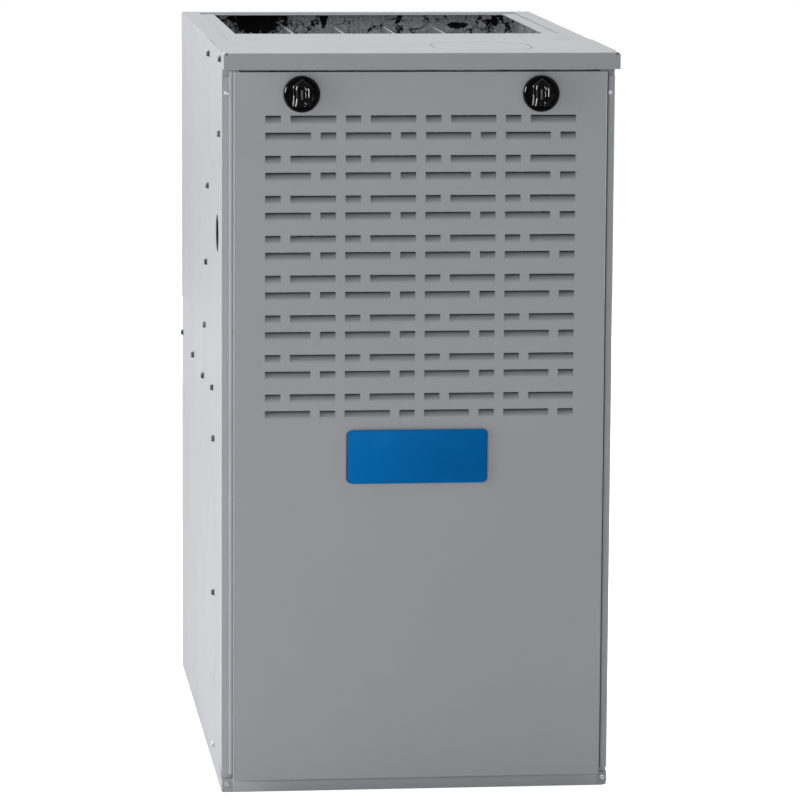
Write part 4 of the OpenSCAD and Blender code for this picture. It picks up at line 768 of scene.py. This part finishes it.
def hex_screw():
    """A washer-faced hexagon screw, its washer's underside at Z 0 and its shank below."""
    deselect_all()
    bpy.ops.mesh.primitive_cylinder_add(vertices=28, radius=washer_radius, depth=washer_height,
                                        location=(0, 0, washer_height / 2))
    washer = bpy.context.object
    ease_edges(washer, 0.00025)
    deselect_all()
    bpy.ops.mesh.primitive_cylinder_add(vertices=6, radius=hexagon_radius, depth=hexagon_height,
                                        location=(0, 0, hexagon_middle))
    head = bpy.context.object
    ease_edges(head, 0.0003)
    bpy.ops.object.mode_set(mode="EDIT")
    bpy.ops.mesh.select_all(action="DESELECT")
    shape = bmesh.from_edit_mesh(head.data)
    top = max(face.calc_center_median().z for face in shape.faces)
    for face in shape.faces:
        face.select_set(face.normal.z > 0.99 and face.calc_center_median().z > top - 1e-6)
    bmesh.update_edit_mesh(head.data)
    bpy.ops.mesh.inset(thickness=dish_rim, depth=-dish_depth)
    bpy.ops.object.mode_set(mode="OBJECT")
    deselect_all()
    bpy.ops.mesh.primitive_cylinder_add(vertices=12, radius=shank_radius, depth=shank_start,
                                        location=(0, 0, -0.0001))
    shank = bpy.context.object
    bpy.ops.object.mode_set(mode="EDIT")
    bpy.ops.mesh.select_all(action="DESELECT")
    shape = bmesh.from_edit_mesh(shank.data)
    for face in shape.faces:
        face.select_set(face.normal.z < -0.9)
    bmesh.update_edit_mesh(shank.data)
    for ridge in range(ridge_count):
        for size in (ridge_swell, 1 / ridge_swell):
            bpy.ops.mesh.extrude_region_move(TRANSFORM_OT_translate={"value": (0, 0, -ridge_step)})
            bpy.ops.transform.resize(value=(size, size, 1))
    bpy.ops.mesh.extrude_region_move(TRANSFORM_OT_translate={"value": (0, 0, -tip_step)})
    bpy.ops.transform.resize(value=(tip_share, tip_share, 1))
    bpy.ops.object.mode_set(mode="OBJECT")
    screw = join_pieces([head, washer, shank])
    bpy.ops.object.shade_smooth_by_angle(angle=math.radians(35))
    deselect_all()
    screw.select_set(True)
    bpy.ops.object.transform_apply(location=True, rotation=True, scale=True)
    return screw


def screw_places(node, reach):
    """The low and high corner of each screw in a CAD node, whose mesh points lie within reach."""
    groups = []
    for vertex in nodes[node].data.vertices:
        near = next((g for g in groups if (g[0] - vertex.co).length < reach), None)
        if near is None:
            groups.append([vertex.co.copy(), vertex.co.copy(), vertex.co.copy()])
        else:
            near[1] = Vector(map(min, near[1], vertex.co))
            near[2] = Vector(map(max, near[2], vertex.co))
    return [(low, high) for _, low, high in groups]


side_places = screw_places("side_screws", reach=0.0145)
front_places = screw_places("front_screws", reach=0.0125)
print("screws found:", len(side_places), "on the sides and", len(front_places), "in front")

# %% Screws in their places
# a darker copy of the screw zinc: painted shade on the upper side screw heads; the lowest pair and the front
# screws keep the plain zinc
screw_painted_shade = finish("screw_zinc_painted_shade", skin_group,
                    {"Color": grey(0.10), "Worn Color": grey(0.22), "Grain per Metre": 1500.0,
                     "Roughness": 0.36, "Depth": 0.3}, Metallic=0.7)
low_screw_z = 0.04
cad_head_height = 0.0032
turn_between_screws = 0.65  # radians
# name, CAD node, material, scale, and the low and high corners of the screws
screw_sets = [
    ("side_screw_heads", "side_screws", screw_painted_shade, 1.0, [p for p in side_places if p[1].z > low_screw_z]),
    ("lower_side_screw_heads", "side_screws", screw_zinc, 1.0,
     [p for p in side_places if p[1].z <= low_screw_z]),
    ("front_screw_heads", "front_screws", screw_zinc, 0.7, front_places)]
pattern = hex_screw()
for name, node, material, scale, places in screw_sets:
    copies = []
    for number, (low, high) in enumerate(places):
        middle = (low + high) / 2
        if node == "side_screws":
            side = 1 if middle.x > 0 else -1
            foot = Vector((side * (max(abs(low.x), abs(high.x)) - cad_head_height), middle.y, middle.z))
            outwards = Matrix.Rotation(side * math.pi / 2, 4, "Y")
        else:
            foot = Vector((middle.x, low.y + cad_head_height * scale, middle.z))
            outwards = Matrix.Rotation(math.pi / 2, 4, "X")
        piece = pattern.copy()
        piece.data = pattern.data.copy()
        scene.collection.objects.link(piece)
        # a smaller screw shrinks about its hexagon's middle, so its washer stands off the sheet a little
        shrink = Matrix.Translation((0, 0, hexagon_middle * (1 - scale))) @ Matrix.Scale(scale, 4)
        piece.matrix_world = (Matrix.Translation(foot) @ outwards @ shrink
                              @ Matrix.Rotation(number * turn_between_screws, 4, "Z"))
        copies.append(piece)
    bpy.context.view_layer.update()
    heads = finish_mesh(join_pieces(copies), name, material, "cabinet")
    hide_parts(node)
    print(name, len(places), "screws,", len(heads.data.polygons), "faces")
bpy.data.objects.remove(pattern)

# %% [markdown]
# ## Painted highlights on the latches
# Each latch has a raised grip shaped like a small house, in two steps, round a recess with a bar. Its
# edges are moulded sharp and glint, and thin ribs along them carry painted highlights: near white for
# the glints, dark grey for dimmer reflections. Every rib starts as a cube of the rib's section, and one
# of its faces is extruded from point to point along the edge.

# %% Rib helper
def rib(points, wide, tall, level, sideways=False):
    """A bar along points (x, z) in millimetres from the latch's centre, standing out from the level."""
    deselect_all()
    (x, z), rest = points[0], points[1:]
    bpy.ops.mesh.primitive_cube_add(size=1, location=(latch_centre[0] + x / 1000, level - tall / 2,
                                                      latch_centre[1] + z / 1000))
    piece = bpy.context.object
    bpy.ops.object.mode_set(mode="EDIT")
    start_length = 0.0004
    bpy.ops.transform.resize(value=(start_length, tall, wide) if sideways else (wide, tall, start_length))
    bpy.ops.mesh.select_all(action="DESELECT")
    shape = bmesh.from_edit_mesh(piece.data)
    for face in shape.faces:
        face.select_set(face.normal.x > 0.9 if sideways else face.normal.z < -0.9)
    bmesh.update_edit_mesh(piece.data)
    for next_x, next_z in rest:
        bpy.ops.mesh.extrude_region_move(
            TRANSFORM_OT_translate={"value": ((next_x - x) / 1000, 0, (next_z - z) / 1000)})
        x, z = next_x, next_z
    bpy.ops.object.mode_set(mode="OBJECT")
    ease_edges(piece, min(wide, tall) * 0.3)
    bpy.ops.object.shade_smooth_by_angle(angle=math.radians(40))
    return piece


latch_low, latch_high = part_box("latch_left")
latch_radius = 0.0205
latch_centre = (latch_low[0] + latch_radius, (latch_low[2] + latch_high[2]) / 2)
dish_back = door_front - 0.0001
latch_reach = dish_back - latch_low[1]
step_share, rim_height, sunk, rim_sunk = 0.62, 0.0058, 0.00005, 0.0003
grip_top = latch_low[1] + sunk
step_top = dish_back - latch_reach * step_share + sunk
rim_top = dish_back - rim_height + rim_sunk
recess_bar_top = grip_top + 0.0035
recess_top = grip_top + 0.004
foot_top = rim_top + 0.002
rib_height = 0.0004
print("latch centre", [round(v, 4) for v in latch_centre], "reach", round(latch_reach, 4))

# %% Painted highlight ribs on both latches
glint_bright_paint = finish("latch_painted_glint", skin_group,
                     {"Color": (0.95, 0.95, 0.94, 1), "Worn Color": (0.70, 0.70, 0.70, 1),
                      "Grain per Metre": 420.0, "Roughness": 0.20, "Depth": 0.6})
glint_dim_paint = finish("latch_painted_dim_reflection", skin_group,
                  {"Color": (0.11, 0.11, 0.115, 1), "Worn Color": (0.03, 0.03, 0.032, 1),
                   "Grain per Metre": 420.0, "Roughness": 0.28, "Depth": 0.6})
# shade, points in millimetres, width and level in metres, and whether the rib runs sideways
rib_plan = [
    ("bright", [(-9.6, 9.4), (-9.7, 7.4)], 0.00070, step_top, False),
    ("dim", [(-9.7, 7.2), (-9.6, -1.0)], 0.00045, step_top, False),
    ("bright", [(-9.4, -1.2), (-9.3, -5.0), (-9.8, -8.0), (-9.9, -12.9)], 0.00090, step_top, False),
    ("bright", [(-5.8, 9.6), (-6.8, 8.0), (-6.4, 5.6)], 0.00090, grip_top, False),
    ("dim", [(-6.3, 5.4), (-6.1, 0.6), (-6.2, -4.5)], 0.00055, grip_top, False),
    ("bright", [(-6.2, -4.7), (-6.6, -8.2), (-7.6, -12.8)], 0.00100, grip_top, False),
    ("bright", [(3.4, 8.0), (4.4, 6.2), (4.9, 4.4)], 0.00130, recess_top, False),
    ("bright", [(6.5, 6.9), (7.3, 4.6), (7.0, 1.4), (7.2, -2.8)], 0.00090, grip_top, False),
    ("bright", [(3.6, 2.2), (4.3, -0.4), (3.9, -3.4)], 0.00070, recess_top, False),
    ("bright", [(3.4, -9.0), (4.4, -11.2)], 0.00090, recess_top, False),
    ("bright", [(2.8, -12.9), (6.6, -12.9)], 0.00060, grip_top, True),
    ("bright", [(-17.4, 7.6), (-18.2, 5.2), (-18.7, 2.6)], 0.00080, rim_top, False),
    ("dim", [(-0.5, 16.4), (-9.3, 9.0)], 0.00080, step_top, False),
    ("dim", [(0.5, 16.4), (9.3, 9.0)], 0.00060, step_top, False),
    ("dim", [(-8.6, -15.6), (-4.0, -14.9), (4.0, -14.9), (8.6, -15.6)], 0.00060, foot_top, True),
    ("dim", [(-0.4, 4.6), (-0.4, -5.6)], 0.00240, recess_bar_top, False),
]
# bright ribs are painted glints and dim ribs painted dimmer reflections
for shade, material in (("bright", glint_bright_paint), ("dim", glint_dim_paint)):
    made = [rib(points, wide, rib_height, level, sideways)
            for kind, points, wide, level, sideways in rib_plan if kind == shade]
    left = finish_mesh(join_pieces(made), "latch_left_" + shade + "_painted_highlight_ribs", material, "latch_left")
    right = left.copy()
    right.data = left.data.copy()
    scene.collection.objects.link(right)
    right.location.x = -2 * latch_centre[0]
    right = finish_mesh(right, "latch_right_" + shade + "_painted_highlight_ribs", material, "latch_right")
